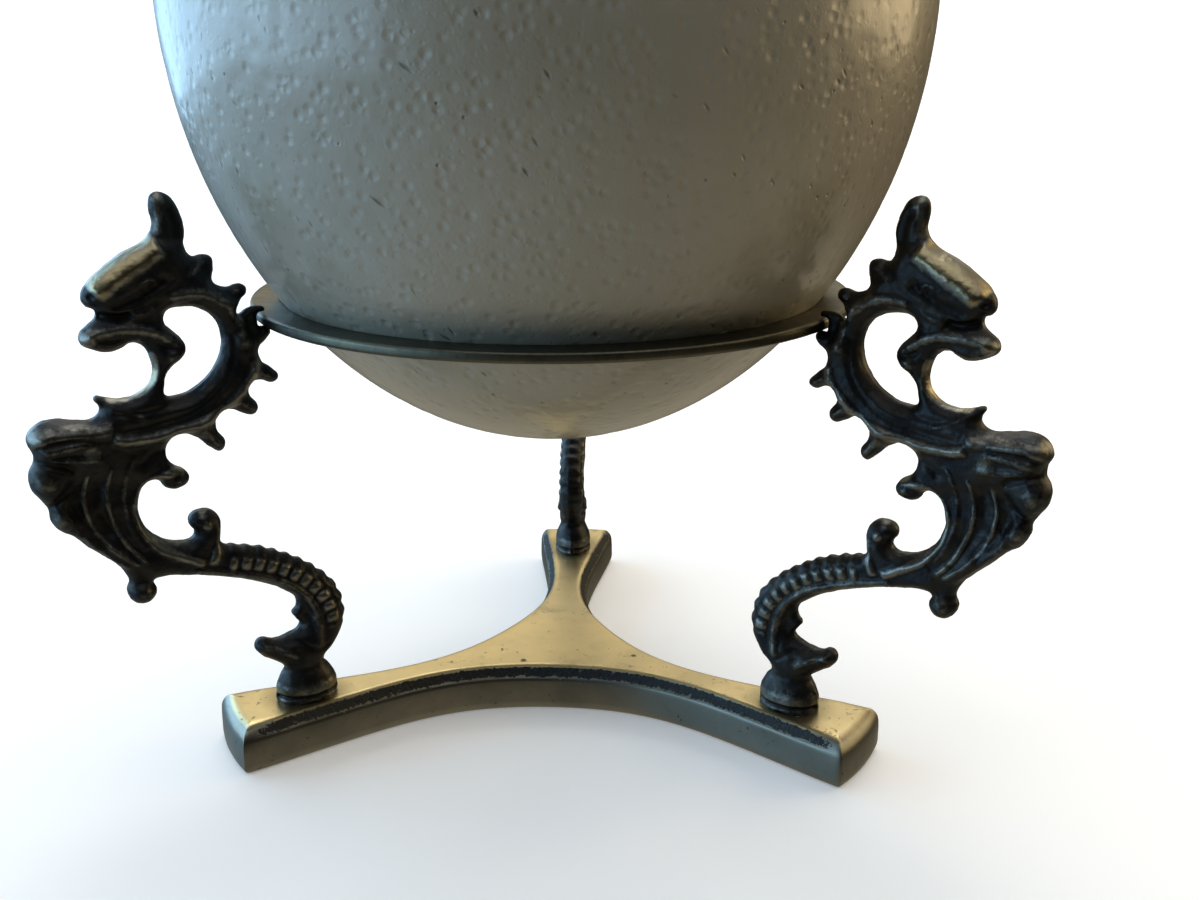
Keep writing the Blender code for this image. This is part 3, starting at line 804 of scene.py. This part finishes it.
# %% Draw the leg's outline
# Places on the leg are (distance from the stand's axis, height above the table).
SHIN = [(45.9, 14.6), (43.6, 17.9), (41.9, 21.5), (41.8, 25.0), (43.2, 28.9), (46.2, 32.2),
        (50.0, 34.9), (54.5, 37.2), (59.0, 38.6), (61.5, 39.4)]
TAIL_CURL = [(61.6, 41.4), (61.5, 43.6), (62.7, 45.3), (64.6, 45.7), (66.2, 44.9), (66.4, 43.4),
             (65.7, 42.3), (66.0, 41.2)]
INNER_ARC = [(68.2, 40.8), (71.3, 42.0), (73.7, 45.2), (73.9, 49.0), (72.3, 51.7)]
BREAST_CURL = [(70.7, 51.8), (69.5, 50.3), (67.4, 50.0), (65.8, 51.2), (66.3, 52.8), (68.1, 54.0)]
MANE_LOWER = [(69.0, 55.8), (68.6, 57.6), (66.6, 58.9), (64.4, 58.3),
              (61.9, 56.0), (60.4, 55.2), (59.5, 56.5), (60.7, 59.0), (60.4, 61.2), (58.6, 62.1),
              (56.4, 61.1), (54.6, 60.7), (53.8, 61.9), (55.1, 64.2), (54.8, 65.8), (53.2, 66.3),
              (51.2, 65.7), (50.1, 66.5), (51.2, 68.1), (52.8, 69.6)]
RING_SHELF = [(53.0, 71.7), (51.6, 73.0), (50.9, 74.2), (51.4, 75.0), (52.7, 75.1)]
CLAW = [(52.85, 76.0), (52.8, 77.0), (52.3, 77.4), (51.6, 77.5), (51.5, 78.0), (52.6, 78.4),
        (54.3, 78.2), (55.4, 77.5)]
MANE_UPPER = [(55.9, 77.3), (55.4, 79.5), (54.2, 81.1), (54.9, 82.2), (57.6, 81.9),
              (59.4, 83.0), (59.1, 85.2), (59.3, 86.8), (60.8, 87.3), (62.2, 87.1)]
EAR = [(63.2, 88.6), (63.0, 91.6), (63.7, 94.6), (65.2, 96.8), (67.2, 97.0), (68.0, 95.2),
       (67.7, 92.4)]
FACE = [(68.9, 90.2), (72.6, 88.2), (76.0, 85.9), (78.1, 84.0), (79.0, 82.2), (78.7, 80.8),
        (77.4, 80.0), (77.3, 79.0), (78.5, 77.7), (79.8, 76.6), (80.0, 75.2), (78.6, 74.1),
        (76.0, 73.3), (74.0, 73.8), (72.6, 74.5)]
THROAT = [(70.8, 73.6), (69.9, 71.5), (69.9, 68.8), (71.8, 66.5), (75.0, 65.7), (77.2, 66.2),
          (78.8, 66.4)]
WING = [(78.2, 64.6), (79.2, 63.1), (82.2, 63.1), (85.4, 63.6), (87.9, 62.8), (89.2, 60.7),
        (88.5, 58.6), (88.5, 57.4), (89.4, 55.6), (89.4, 53.2), (88.1, 51.0), (87.3, 49.6),
        (87.1, 47.6), (86.0, 45.8), (84.2, 44.5), (82.0, 42.2), (79.6, 40.0), (77.9, 38.3)]
HANGING_BALL = [(77.0, 36.7), (76.6, 35.4), (77.1, 33.8), (76.3, 31.9), (74.7, 31.2),
                (73.1, 31.9), (72.5, 33.5), (72.9, 34.8)]
TAIL_UNDERSIDE = [(71.6, 35.3), (68.0, 34.9), (62.0, 33.5), (56.0, 31.4), (51.8, 29.0),
                  (49.9, 27.0)]
SPURS = [(50.0, 25.6), (50.8, 24.6), (50.1, 23.4), (49.5, 22.2), (52.0, 20.6), (54.4, 20.3),
         (56.4, 20.9), (57.5, 19.6), (56.6, 17.9), (54.6, 16.5), (53.0, 15.2)]
FOOT_RIGHT = [(52.7, 14.4), (53.6, 12.9), (54.3, 11.2), (54.35, 10.2)]
FOOT_BOTTOM = [(54.3, 8.6), (49.0, 8.42), (43.7, 8.6)]
FOOT_LEFT = [(43.65, 10.2), (43.7, 11.2), (44.4, 12.9), (45.3, 14.2)]
LEG_OUTLINE = (SHIN + TAIL_CURL + INNER_ARC + BREAST_CURL + MANE_LOWER + RING_SHELF + CLAW
               + MANE_UPPER + EAR + FACE + THROAT + WING + HANGING_BALL + TAIL_UNDERSIDE + SPURS
               + FOOT_RIGHT + FOOT_BOTTOM + FOOT_LEFT)
THROAT_OPENING = [(68.2, 65.5), (66.0, 65.3), (63.0, 66.5), (60.4, 69.0), (59.0, 71.8),
                  (58.8, 74.6), (59.7, 77.1), (61.8, 78.8), (64.6, 79.4), (66.9, 78.9),
                  (67.4, 77.3), (66.4, 75.9), (65.0, 74.4), (64.4, 72.9), (65.1, 71.3),
                  (66.7, 70.1), (67.7, 68.9), (68.2, 67.2)]
PLATE_HALF = 1.0

loops = [[(point, None, None) for point in points] for points in (LEG_OUTLINE, THROAT_OPENING)]
leg = closed_curve("dragon_leg", loops, automatic=True)
leg.data.fill_mode = "NONE"
leg.data.resolution_u = 8
leg.rotation_euler.x = math.pi / 2
pick(leg)
bpy.ops.object.convert(target="MESH")
bpy.ops.object.transform_apply(location=True, rotation=True, scale=True)
line = read_points(leg)[:, [0, 2]]
edge_lines = np.array([(line[edge.vertices[0]], line[edge.vertices[1]])
                       for edge in leg.data.edges])
print("leg outline:", len(edge_lines), "short lines")

# %% Cut the plate and give it small even faces
VOXEL = 0.21
select_where(leg, "vertices", lambda vertex: True)
bpy.ops.mesh.fill(use_beauty=True)
bpy.ops.mesh.select_all(action="SELECT")
bpy.ops.mesh.extrude_region_move(
    TRANSFORM_OT_translate={"value": (0.0, 2.0 * PLATE_HALF * MM, 0.0)})
bpy.ops.mesh.select_all(action="SELECT")
bpy.ops.mesh.normals_make_consistent(inside=False)
bpy.ops.object.mode_set(mode="OBJECT")
leg.location.y = -PLATE_HALF * MM
bpy.ops.object.transform_apply(location=True, rotation=True, scale=True)
apply_modifier(leg, "REMESH", mode="VOXEL", voxel_size=VOXEL * MM)
flat = read_points(leg)
side_view = flat[:, [0, 2]]
print("plate:", len(leg.data.polygons), "faces")


# %% Measure distances on the side view
def smooth_path(points, steps=6):
    """More points along a line, on an even curve through the given ones."""
    points = [np.array(point, float) for point in points]
    guides = [2 * points[0] - points[1], *points, 2 * points[-1] - points[-2]]
    path = []
    for a, b, c, d in zip(guides, guides[1:], guides[2:], guides[3:]):
        for step in range(steps):
            t = step / steps
            path.append(0.5 * (2 * b + (c - a) * t + (2 * a - 5 * b + 4 * c - d) * t ** 2
                               + (3 * b - a - 3 * c + d) * t ** 3))
    return np.array([*path, points[-1]])


def to_lines(places, starts, ends):
    """Each place's distance to the nearest of some short lines, and how far along that lies."""
    nearest = np.full(len(places), 1e9)
    at = np.zeros(len(places))
    done = 0.0
    for start, finish in zip(starts, ends):
        step = finish - start
        length = math.hypot(*step)
        share = np.clip((places - start) @ step / max(length * length, 1e-12), 0.0, 1.0)
        gap = places - start - share[:, None] * step
        gap = np.hypot(gap[:, 0], gap[:, 1])
        closer = gap < nearest
        nearest[closer] = gap[closer]
        at[closer] = done + share[closer] * length
        done += length
    return nearest, at


def to_path(points, width):
    """Distance to a carved line, and place along it, for the vertices that lie near it."""
    path = smooth_path(points)
    near = np.all((side_view > path.min(axis=0) - width)
                  & (side_view < path.max(axis=0) + width), axis=1)
    distance = np.full(len(side_view), 1e9)
    at = np.zeros(len(side_view))
    distance[near], at[near] = to_lines(side_view[near], path[:-1], path[1:])
    return distance, at, float(np.sum(np.hypot(*np.diff(path, axis=0).T)))


from_edge, _ = to_lines(side_view, edge_lines[:, 0], edge_lines[:, 1])
print("widest part is", round(2 * float(from_edge.max()), 1), "mm across")

# %% Give each part its fullness
# Each place: (distance, height), half thickness there, and how broad its edge rounding is.
FULLNESS = [
    (48.5, 17.5, 2.9, 2.9), (44.6, 21.0, 2.4, 2.0), (45.3, 26.0, 2.35, 1.9),
    (48.6, 30.5, 2.3, 1.8), (53.0, 33.8, 2.25, 1.8), (58.0, 36.0, 2.25, 1.8),
    (63.0, 37.0, 2.3, 1.8), (68.0, 38.2, 2.4, 1.9), (72.0, 37.6, 2.6, 2.0),
    (64.1, 43.4, 2.7, 2.4), (74.8, 33.4, 2.5, 2.3), (75.2, 36.0, 1.8, 1.6), (74.6, 41.5, 2.2, 1.4),
    (76.2, 50.0, 1.7, 1.3), (80.0, 46.0, 1.3, 1.6), (81.5, 52.0, 1.5, 1.8), (83.4, 49.5, 1.6, 1.8),
    (86.0, 60.8, 3.5, 2.6), (87.2, 54.6, 3.3, 2.2), (85.6, 48.2, 2.9, 2.2), (82.6, 61.0, 3.5, 2.4),
    (82.3, 43.2, 2.5, 1.9), (79.0, 40.3, 2.3, 1.8), (79.6, 60.4, 3.3, 2.6), (80.4, 58.0, 3.0, 2.4),
    (75.0, 62.0, 3.0, 2.4), (72.0, 56.5, 2.3, 2.0), (68.0, 51.8, 2.2, 1.8),
    (63.0, 62.0, 3.0, 2.5), (57.0, 67.0, 3.0, 2.6), (55.4, 72.5, 2.9, 2.4),
    (57.0, 78.5, 2.9, 2.4), (62.0, 82.6, 3.0, 2.6), (52.0, 67.0, 1.5, 1.3),
    (54.8, 62.2, 1.5, 1.3), (60.3, 56.8, 1.5, 1.3), (55.2, 81.4, 1.4, 1.2),
    (60.0, 86.4, 1.5, 1.3), (65.4, 92.5, 1.9, 1.9), (66.2, 96.0, 1.5, 1.7),
    (66.5, 86.5, 3.2, 2.8), (70.5, 84.6, 3.5, 3.4), (75.0, 83.2, 3.3, 3.2),
    (77.4, 82.2, 2.9, 2.6), (73.5, 76.2, 2.5, 2.2), (78.4, 75.7, 2.4, 2.0),
    (66.6, 72.8, 2.2, 2.0), (69.0, 69.0, 1.8, 1.4), (69.8, 79.0, 2.8, 2.2),
    (75.0, 64.6, 2.4, 1.6), (78.2, 66.0, 1.6, 1.2), (52.6, 78.0, 1.0, 0.8),
    (53.4, 76.4, 1.0, 0.8), (52.4, 73.9, 1.8, 1.2), (50.2, 24.6, 1.3, 1.0),
    (55.6, 19.4, 2.0, 1.7), (52.0, 18.4, 2.6, 2.2)]
EDGE_SHARE = 0.3

known = np.array(FULLNESS)
gaps = ((side_view[:, None, 0] - known[:, 0]) ** 2 + (side_view[:, None, 1] - known[:, 1]) ** 2)
nearness = 1.0 / (gaps + 0.3) ** 2
nearness /= nearness.sum(axis=1)[:, None]
fullness = nearness @ known[:, 2]
rounding = nearness @ known[:, 3]
inward = 1.0 - np.clip(from_edge / rounding, 0.0, 1.0)
thickness = fullness * np.sqrt(np.clip(1.0 - inward ** 2, EDGE_SHARE ** 2, 1.0))
print("half thickness up to", round(float(thickness.max()), 2), "mm")

# %% [markdown]
# ### The lines of the carving
#
# Raised cords, ridges and cut lines are kept in one list: a name, the points that the line runs
# through, its height (a cut has a minus sign), its half width, and how much the dark patina has
# been rubbed off it. A second list holds round bosses and pits.

# %% Carve the lines
CARVING = [
    ("mane cord", [(53.8, 70.6), (54.4, 68.0), (56.6, 65.1), (59.8, 62.5), (64.0, 60.6),
                   (68.8, 59.6), (74.0, 59.3), (77.4, 60.2)], 0.85, 0.95, 0.46),
    ("upper neck cord", [(55.6, 72.2), (55.8, 75.6), (57.2, 78.9), (60.2, 81.1), (64.0, 81.6),
                         (67.0, 80.9)], 0.5, 0.9, 0.30),
    ("opening rim", [(66.4, 52.3), (67.3, 53.2), (69.2, 53.0), (71.7, 52.3), (73.6, 50.6),
                     (74.5, 48.2), (74.2, 45.0), (72.2, 41.5), (69.6, 39.5), (66.9, 38.0),
                     (64.6, 36.7)], 0.5, 0.75, 0.46),
    ("curl stem", [(61.9, 43.2), (61.9, 41.2), (62.6, 38.8), (63.7, 36.2)], 0.55, 0.8, 0.5),
    ("tail keel", [(47.2, 17.5), (46.7, 20.0), (46.8, 23.5), (48.2, 27.3), (51.4, 30.7),
                   (56.0, 32.9), (61.5, 34.6), (67.0, 35.9)], 0.5, 0.75, 0.26),
    ("first flute", [(73.6, 38.6), (76.4, 42.0), (78.3, 46.6), (78.7, 51.4), (77.4, 55.8)],
     0.42, 0.42, 0.30),
    ("second flute", [(74.6, 38.0), (78.8, 41.9), (81.4, 46.2), (82.2, 50.8), (81.0, 55.0)],
     0.42, 0.42, 0.30),
    ("third flute", [(73.4, 40.6), (75.4, 44.6), (76.2, 49.4), (75.5, 53.6), (73.8, 57.0)],
     0.30, 0.40, 0.16),
    ("fourth flute", [(76.2, 37.8), (80.6, 41.6), (83.4, 45.4), (84.4, 48.6)], 0.32, 0.40, 0.20),
    ("flute valley", [(75.4, 40.4), (78.0, 44.4), (80.2, 49.4), (79.9, 54.0)], -0.35, 0.9, 0.0),
    ("outer valley", [(79.0, 42.2), (82.0, 46.0), (83.8, 50.0), (83.4, 54.2)], -0.35, 0.9, 0.0),
    ("wing shoulder", [(76.4, 61.4), (79.6, 61.7), (83.2, 61.9), (86.6, 61.8), (88.2, 60.8)],
     0.55, 1.1, 0.30),
    ("shoulder layer", [(79.4, 59.6), (82.4, 59.7), (85.4, 59.4), (87.8, 59.0)], 0.42, 0.65, 0.22),
    ("shoulder cut", [(80.6, 60.6), (83.6, 60.7), (86.6, 60.3), (88.6, 59.8)], -0.35, 0.35, 0.0),
    ("shoulder edge", [(78.4, 57.0), (81.0, 57.2), (84.0, 57.6), (86.8, 57.7)], 0.35, 0.6, 0.16),
    ("lobe cleft upper", [(88.8, 57.7), (86.4, 57.3), (84.2, 56.4), (82.6, 55.2)], -0.55, 0.65,
     0.0),
    ("lobe cleft lower", [(87.8, 50.3), (85.8, 51.0), (84.2, 52.8)], -0.5, 0.65, 0.0),
    ("lobe cleft last", [(85.4, 45.2), (84.0, 46.6), (83.0, 48.6)], -0.3, 0.6, 0.0),
    ("nose ridge", [(67.2, 89.9), (70.2, 88.1), (73.4, 86.1), (76.0, 84.3), (77.9, 82.8)],
     0.75, 1.9, 0.92),
    ("cheek hollow", [(66.4, 84.6), (69.2, 82.9), (72.4, 81.4), (75.6, 80.3)], -0.55, 0.9, 0.0),
    ("eyelid", [(68.0, 83.4), (69.2, 84.5), (71.0, 83.9)], 0.25, 0.35, 0.22),
    ("cheek fold", [(68.2, 80.4), (70.4, 79.4), (73.0, 79.0)], 0.28, 0.5, 0.14),
    ("mouth", [(78.2, 79.5), (76.4, 79.1), (74.2, 78.8), (71.8, 79.0)], -1.0, 0.75, 0.0),
    ("jaw line", [(79.4, 76.6), (76.8, 76.7), (73.6, 76.9), (70.9, 76.6), (68.4, 75.7),
                  (66.2, 74.3)], 0.55, 0.85, 0.34),
    ("beard line", [(78.6, 74.8), (75.8, 74.5), (72.9, 75.1), (70.8, 74.9)], 0.3, 0.6, 0.14),
    ("jowl cut", [(64.6, 73.0), (66.6, 73.2), (68.8, 74.2)], -0.35, 0.4, 0.0),
    ("throat edge", [(70.2, 73.2), (69.6, 71.2), (69.6, 69.0), (71.4, 66.9), (74.6, 66.0),
                     (77.6, 66.2)], 0.25, 0.6, 0.70),
    ("breast cut", [(60.2, 69.6), (62.2, 67.0), (65.4, 64.9), (69.4, 63.9), (74.0, 63.4)],
     -0.25, 0.5, 0.0),
    ("neck cut", [(57.6, 75.6), (57.3, 72.0), (58.4, 68.4), (61.2, 65.0), (65.2, 62.8),
                  (70.5, 61.6), (75.5, 61.2)], -0.28, 0.5, 0.0),
    ("plume vein", [(71.2, 62.6), (74.4, 63.8), (77.8, 65.8)], 0.28, 0.45, 0.14),
    ("crown cut", [(58.5, 80.0), (61.0, 84.0), (64.4, 85.4)], -0.3, 0.7, 0.0),
    ("ear hollow", [(64.6, 89.4), (64.6, 92.4), (65.6, 95.2)], -0.45, 0.8, 0.0),
    ("ear edge", [(67.2, 90.4), (67.0, 93.2), (66.8, 96.2)], 0.15, 0.7, 0.34),
    ("first spike", [(50.8, 66.6), (53.0, 67.6), (55.0, 68.8)], 0.4, 0.6, 0.22),
    ("second spike", [(54.4, 61.4), (56.4, 63.0), (58.4, 63.4)], 0.4, 0.6, 0.22),
    ("third spike", [(60.2, 56.0), (62.0, 58.2), (63.8, 60.0)], 0.45, 0.7, 0.26),
    ("fourth spike", [(54.8, 81.6), (57.0, 80.8)], 0.3, 0.5, 0.2),
    ("fifth spike", [(60.2, 86.6), (61.8, 85.2), (63.6, 84.4)], 0.35, 0.6, 0.22),
    ("breast fold", [(68.6, 57.2), (71.2, 56.6), (73.4, 54.6)], -0.3, 0.7, 0.0),
    ("spur vein", [(56.8, 19.8), (53.8, 18.9), (50.4, 16.8)], 0.35, 0.6, 0.26),
    ("heel cut", [(44.4, 18.6), (47.4, 17.9), (50.2, 19.6), (52.6, 20.0)], -0.3, 0.5, 0.0),
    ("ankle cut", [(45.4, 15.5), (49.0, 14.6), (52.8, 15.3)], -0.3, 0.6, 0.0),
]
BOSSES = [
    ("curl button", (63.9, 43.4), 0.35, 0.9, 0.45), ("curl ring", (63.9, 43.4), -0.3, 1.8, 0.0),
    ("ball shine", (74.9, 33.6), 0.3, 1.4, 0.20), ("breast button", (67.6, 51.6), 0.3, 0.8, 0.22),
    ("eye socket", (69.7, 83.2), -0.35, 1.1, 0.0), ("eye", (69.7, 83.2), 0.35, 0.6, 0.22),
    ("nostril", (77.9, 82.2), -0.7, 0.55, 0.0), ("upper jowl", (66.0, 74.4), 0.4, 1.0, 0.2),
    ("lower jowl", (66.6, 71.8), 0.5, 1.2, 0.3), ("chin", (79.0, 75.6), 0.3, 1.3, 0.62),
    ("middle lobe", (87.4, 54.4), 0.3, 1.5, 0.34), ("lower lobe", (85.9, 48.0), 0.25, 1.3, 0.34),
    ("shoulder shine", (80.2, 58.2), 0.35, 1.5, 0.44), ("lobe tip", (88.0, 61.4), 0.0, 1.6, 0.5),
    ("ear tip", (66.6, 96.2), 0.1, 1.2, 0.5), ("curl top", (64.5, 45.2), 0.1, 0.9, 0.3),
    ("heel shine", (49.0, 11.2), 0.0, 3.0, 0.2)]
LINE_REACH = 1.35
BOSS_REACH = 1.3
EDGE_KEPT = 0.5


def swelling(distance, reach):
    """1 in the middle of a carved line or boss, and an even fall to 0 at its reach."""
    return np.clip(1.0 - (distance / reach) ** 2, 0.0, 1.0) ** 1.5


inside = smooth_step(0.0, EDGE_KEPT, from_edge)
carved = np.zeros(len(side_view))
worn = np.zeros(len(side_view))
for _, points, depth, half_width, rubbed in CARVING:
    distance, at, length = to_path(points, 2.0 * half_width)
    rise = (swelling(distance, LINE_REACH * half_width) * smooth_step(-0.1, 1.0, at)
            * smooth_step(-0.1, 1.0, length - at))
    carved += depth * rise * inside
    worn = np.maximum(worn, rubbed * rise)
for _, centre, depth, radius, rubbed in BOSSES:
    gap = np.hypot(side_view[:, 0] - centre[0], side_view[:, 1] - centre[1])
    rise = swelling(gap, BOSS_REACH * radius)
    carved += depth * rise * inside
    worn = np.maximum(worn, rubbed * rise)
print("carved", len(CARVING), "lines and", len(BOSSES), "bosses")

# %% Bead the tail
# A row of square pads runs down each side of the tail, with a rib over its back beside each one.
PAD_ROW = [(61.4, 36.2), (58.6, 35.8), (55.9, 35.1), (53.2, 34.0), (50.6, 32.5), (48.2, 30.6),
           (46.2, 28.4), (44.9, 25.9), (44.2, 23.2), (44.3, 20.6)]
PAD_PITCH = 2.2
PAD_HEIGHT = 0.55
PAD_HALF_LENGTH = 0.85
PAD_HALF_WIDTH = 1.05
PAD_WORN = 0.52
PAD_BED_DEPTH = 0.15
PAD_BED_HALF = 1.6
TAIL_HALF = 3.5
RIB_HEIGHT = 0.17
BACK_WAY = (-0.55, 0.83)

distance, at, length = to_path(PAD_ROW, TAIL_HALF)
phase = (at / PAD_PITCH) % 1.0 - 0.5
fade = smooth_step(0.0, 1.0, at) * smooth_step(0.0, 2.0, length - at)
pad = np.exp(-(phase * PAD_PITCH / PAD_HALF_LENGTH) ** 4 - (distance / PAD_HALF_WIDTH) ** 4) * fade
carved += (PAD_HEIGHT * pad - PAD_BED_DEPTH * fade * (distance < PAD_BED_HALF)) * inside
worn = np.maximum(worn, PAD_WORN * pad)
path = smooth_path(PAD_ROW)
on_tail = distance < TAIL_HALF
middle = np.array([path[np.argmin(np.hypot(*(path - place).T))] for place in side_view[on_tail]])
ribs = np.zeros_like(side_view)
apart = side_view[on_tail] - middle
apart /= np.maximum(np.hypot(*apart.T), 0.2)[:, None]
on_back = apart @ np.array(BACK_WAY) > 0.0
rib = RIB_HEIGHT * np.cos(math.tau * phase) * fade * smooth_step(1.0, 2.0, distance)
ribs[on_tail] = apart * (rib[on_tail] * on_back)[:, None]
print("tail has", int(length / PAD_PITCH), "pads")

# %% Turn the foot and raise both faces
FOOT_NARROWING = 0.74
FOOT_PROFILE = [(8.4, 5.3), (9.25, 5.3), (9.5, 4.8), (9.8, 4.8), (10.05, 5.25), (11.2, 5.25),
                (12.9, 4.6), (14.3, 3.75), (16.5, 3.9)]
FOOT_ENDS = (13.6, 16.2)
CARVING_STARTS = 14.5
THINNEST = 0.35
CUT_SHADE = (0.05, 0.6)
# How far the foot's collars are rubbed bright, and how much painted shade darkens the groove
# between them, at each height.
COLLAR_MARKS = [(8.4, 0.20, 0.0), (9.2, 0.24, 0.0), (9.45, 0.0, 0.9), (9.85, 0.0, 0.9),
                (10.1, 0.34, 0.0), (11.3, 0.30, 0.0), (12.2, 0.08, 0.0), (14.5, 0.0, 0.0)]

heights, radii = np.array(FOOT_PROFILE).T
radius = np.interp(side_view[:, 1], heights, radii)
turned = FOOT_NARROWING * np.sqrt(np.clip(
    radius ** 2 - (side_view[:, 0] - FOOT_DISTANCE) ** 2, 0.15, None))
in_foot = 1.0 - smooth_step(*FOOT_ENDS, side_view[:, 1])
thickness = thickness + np.where(side_view[:, 1] < CARVING_STARTS, 0.0, carved)
thickness = thickness * (1.0 - in_foot) + turned * in_foot
raised = flat.copy()
raised[:, 1] = flat[:, 1] / PLATE_HALF * np.maximum(thickness, THINNEST)
raised[:, [0, 2]] += ribs
write_points(leg, raised)
pick(leg)
bpy.ops.object.mode_set(mode="EDIT")
bpy.ops.mesh.select_all(action="SELECT")
bpy.ops.mesh.vertices_smooth(factor=0.5, repeat=2)
bpy.ops.object.mode_set(mode="OBJECT")
collar_heights, collar_worn, collar_shade = np.array(COLLAR_MARKS).T
# Painted shade: the colour darkens where the surface is cut in, more in deeper cuts, and in the
# groove between the foot's collars. Wear is also kept out of the cuts. The "cut" mark carries this
# painted shade.
dark = smooth_step(*CUT_SHADE, -carved) * (1.0 - in_foot)
worn = np.clip(worn - dark, 0.0, 1.0)
dark = np.maximum(dark, np.interp(side_view[:, 1], collar_heights, collar_shade) * in_foot)
worn = np.maximum(worn * (1.0 - in_foot),
                  np.interp(side_view[:, 1], collar_heights, collar_worn) * in_foot)
leg.data.attributes.new("worn", "FLOAT", "POINT").data.foreach_set("value", worn)
leg.data.attributes.new("cut", "FLOAT", "POINT").data.foreach_set("value", dark)
print("leg is", round(float(2 * thickness.max()), 1), "mm thick at its fullest")

# %% Finish of the legs
PATINA_BLUE_BLACK = (0.013, 0.015, 0.018, 1.0)
PATINA_BROWN_BLACK = (0.032, 0.031, 0.027, 1.0)
RUBBED_GREY = (0.21, 0.21, 0.19, 1.0)
RUBBED_DARK_GREY = (0.14, 0.14, 0.12, 1.0)
BARE_BRASS = (0.36, 0.30, 0.175, 1.0)
DULL_BARE_BRASS = (0.26, 0.225, 0.14, 1.0)
# Painted shade for the carved cuts and the foot's groove.
PAINTED_CUT_SHADE = (0.008, 0.008, 0.008, 1.0)

dark_brass, shader, add, links = new_finish("dark patina brass")
coordinates = add("ShaderNodeTexCoord").outputs["Object"]
worn_mark = add("ShaderNodeAttribute", attribute_name="worn").outputs["Fac"]
cut_shade_mark = add("ShaderNodeAttribute", attribute_name="cut").outputs["Fac"]
blotch = stretch(add, cloud(add, coordinates, 260.0, 4.0, 0.6), 0.38, 0.66)
grain = cloud(add, coordinates, 1300.0, 4.0, 0.7)
patina = blend(add, blotch, PATINA_BLUE_BLACK, PATINA_BROWN_BLACK)
grey = blend(add, blotch, RUBBED_GREY, RUBBED_DARK_GREY)
bare = blend(add, blotch, BARE_BRASS, DULL_BARE_BRASS)
rubbed = maths(add, "ADD", worn_mark, stretch(add, grain, 0.3, 0.7, -0.08, 0.08))
patches = cloud(add, coordinates, 420.0, 4.0, 0.65)
rubbed = maths(add, "ADD", rubbed, stretch(add, patches, 0.3, 0.7, -0.12, 0.12))
colour = blend(add, stretch(add, rubbed, 0.12, 0.42), patina, grey)
colour = blend(add, stretch(add, rubbed, 0.48, 0.78), colour, bare)
# Painted shade darkens the carved cuts and the foot's groove towards black.
colour = blend(add, cut_shade_mark, colour, PAINTED_CUT_SHADE)
links.new(colour, shader.inputs["Base Color"])
links.new(stretch(add, rubbed, 0.1, 0.5, 0.75, 1.0), shader.inputs["Metallic"])
links.new(stretch(add, rubbed, 0.0, 1.0, 0.44, 0.30), shader.inputs["Roughness"])
normal = relief(add, grain, 0.00006)
normal = relief(add, cloud(add, coordinates, 480.0, 3.0), 0.00017, normal)
links.new(normal, shader.inputs["Normal"])
leg.data.materials.append(dark_brass)
print("leg finish ready")

# %% Cast the leg three times
# The casting's rough skin: the size of its lumps and how high they stand.
CAST_GRAIN = ((1.6, 0.07), (0.7, 0.035))

pick(leg)
bpy.ops.object.shade_smooth()
for name, angle in ARMS.items():
    pick(leg)
    bpy.ops.object.duplicate()
    casting = bpy.context.object
    casting.name = f"dragon_leg_{name}"
    casting.rotation_euler.z = math.radians(angle)
    bpy.ops.object.transform_apply(location=True, rotation=True, scale=True)
    places = read_points(casting)
    normals = np.empty(len(places) * 3)
    casting.data.vertices.foreach_get("normal", normals)
    rough = sum(depth * np.array([noise.noise(Vector(place) / size) for place in places])
                for size, depth in CAST_GRAIN)
    write_points(casting, places + normals.reshape(-1, 3) * rough[:, None])
    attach(casting, "root")
    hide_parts(f"leg_{name}")
    print(casting.name, len(casting.data.polygons), "faces")
bpy.data.objects.remove(leg)

# %% [markdown]
# ## The screws
#
# The screws are plain and hidden under the base, so the solid ones stay and only get a dulled
# steel finish.

# %% Finish the screws
DULL_STEEL = (0.42, 0.41, 0.39, 1.0)
STAINED_STEEL = (0.22, 0.20, 0.17, 1.0)

steel, shader, add, links = new_finish("dulled screw steel")
coordinates = add("ShaderNodeTexCoord").outputs["Object"]
dull = stretch(add, cloud(add, coordinates, 900.0, 4.0), 0.35, 0.65)
links.new(blend(add, dull, DULL_STEEL, STAINED_STEEL), shader.inputs["Base Color"])
shader.inputs["Metallic"].default_value = 1.0
links.new(stretch(add, dull, 0.0, 1.0, 0.3, 0.5), shader.inputs["Roughness"])
for name in ARMS:
    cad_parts[f"screw_{name}"].data.materials.clear()
    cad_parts[f"screw_{name}"].data.materials.append(steel)
print("screws finished")
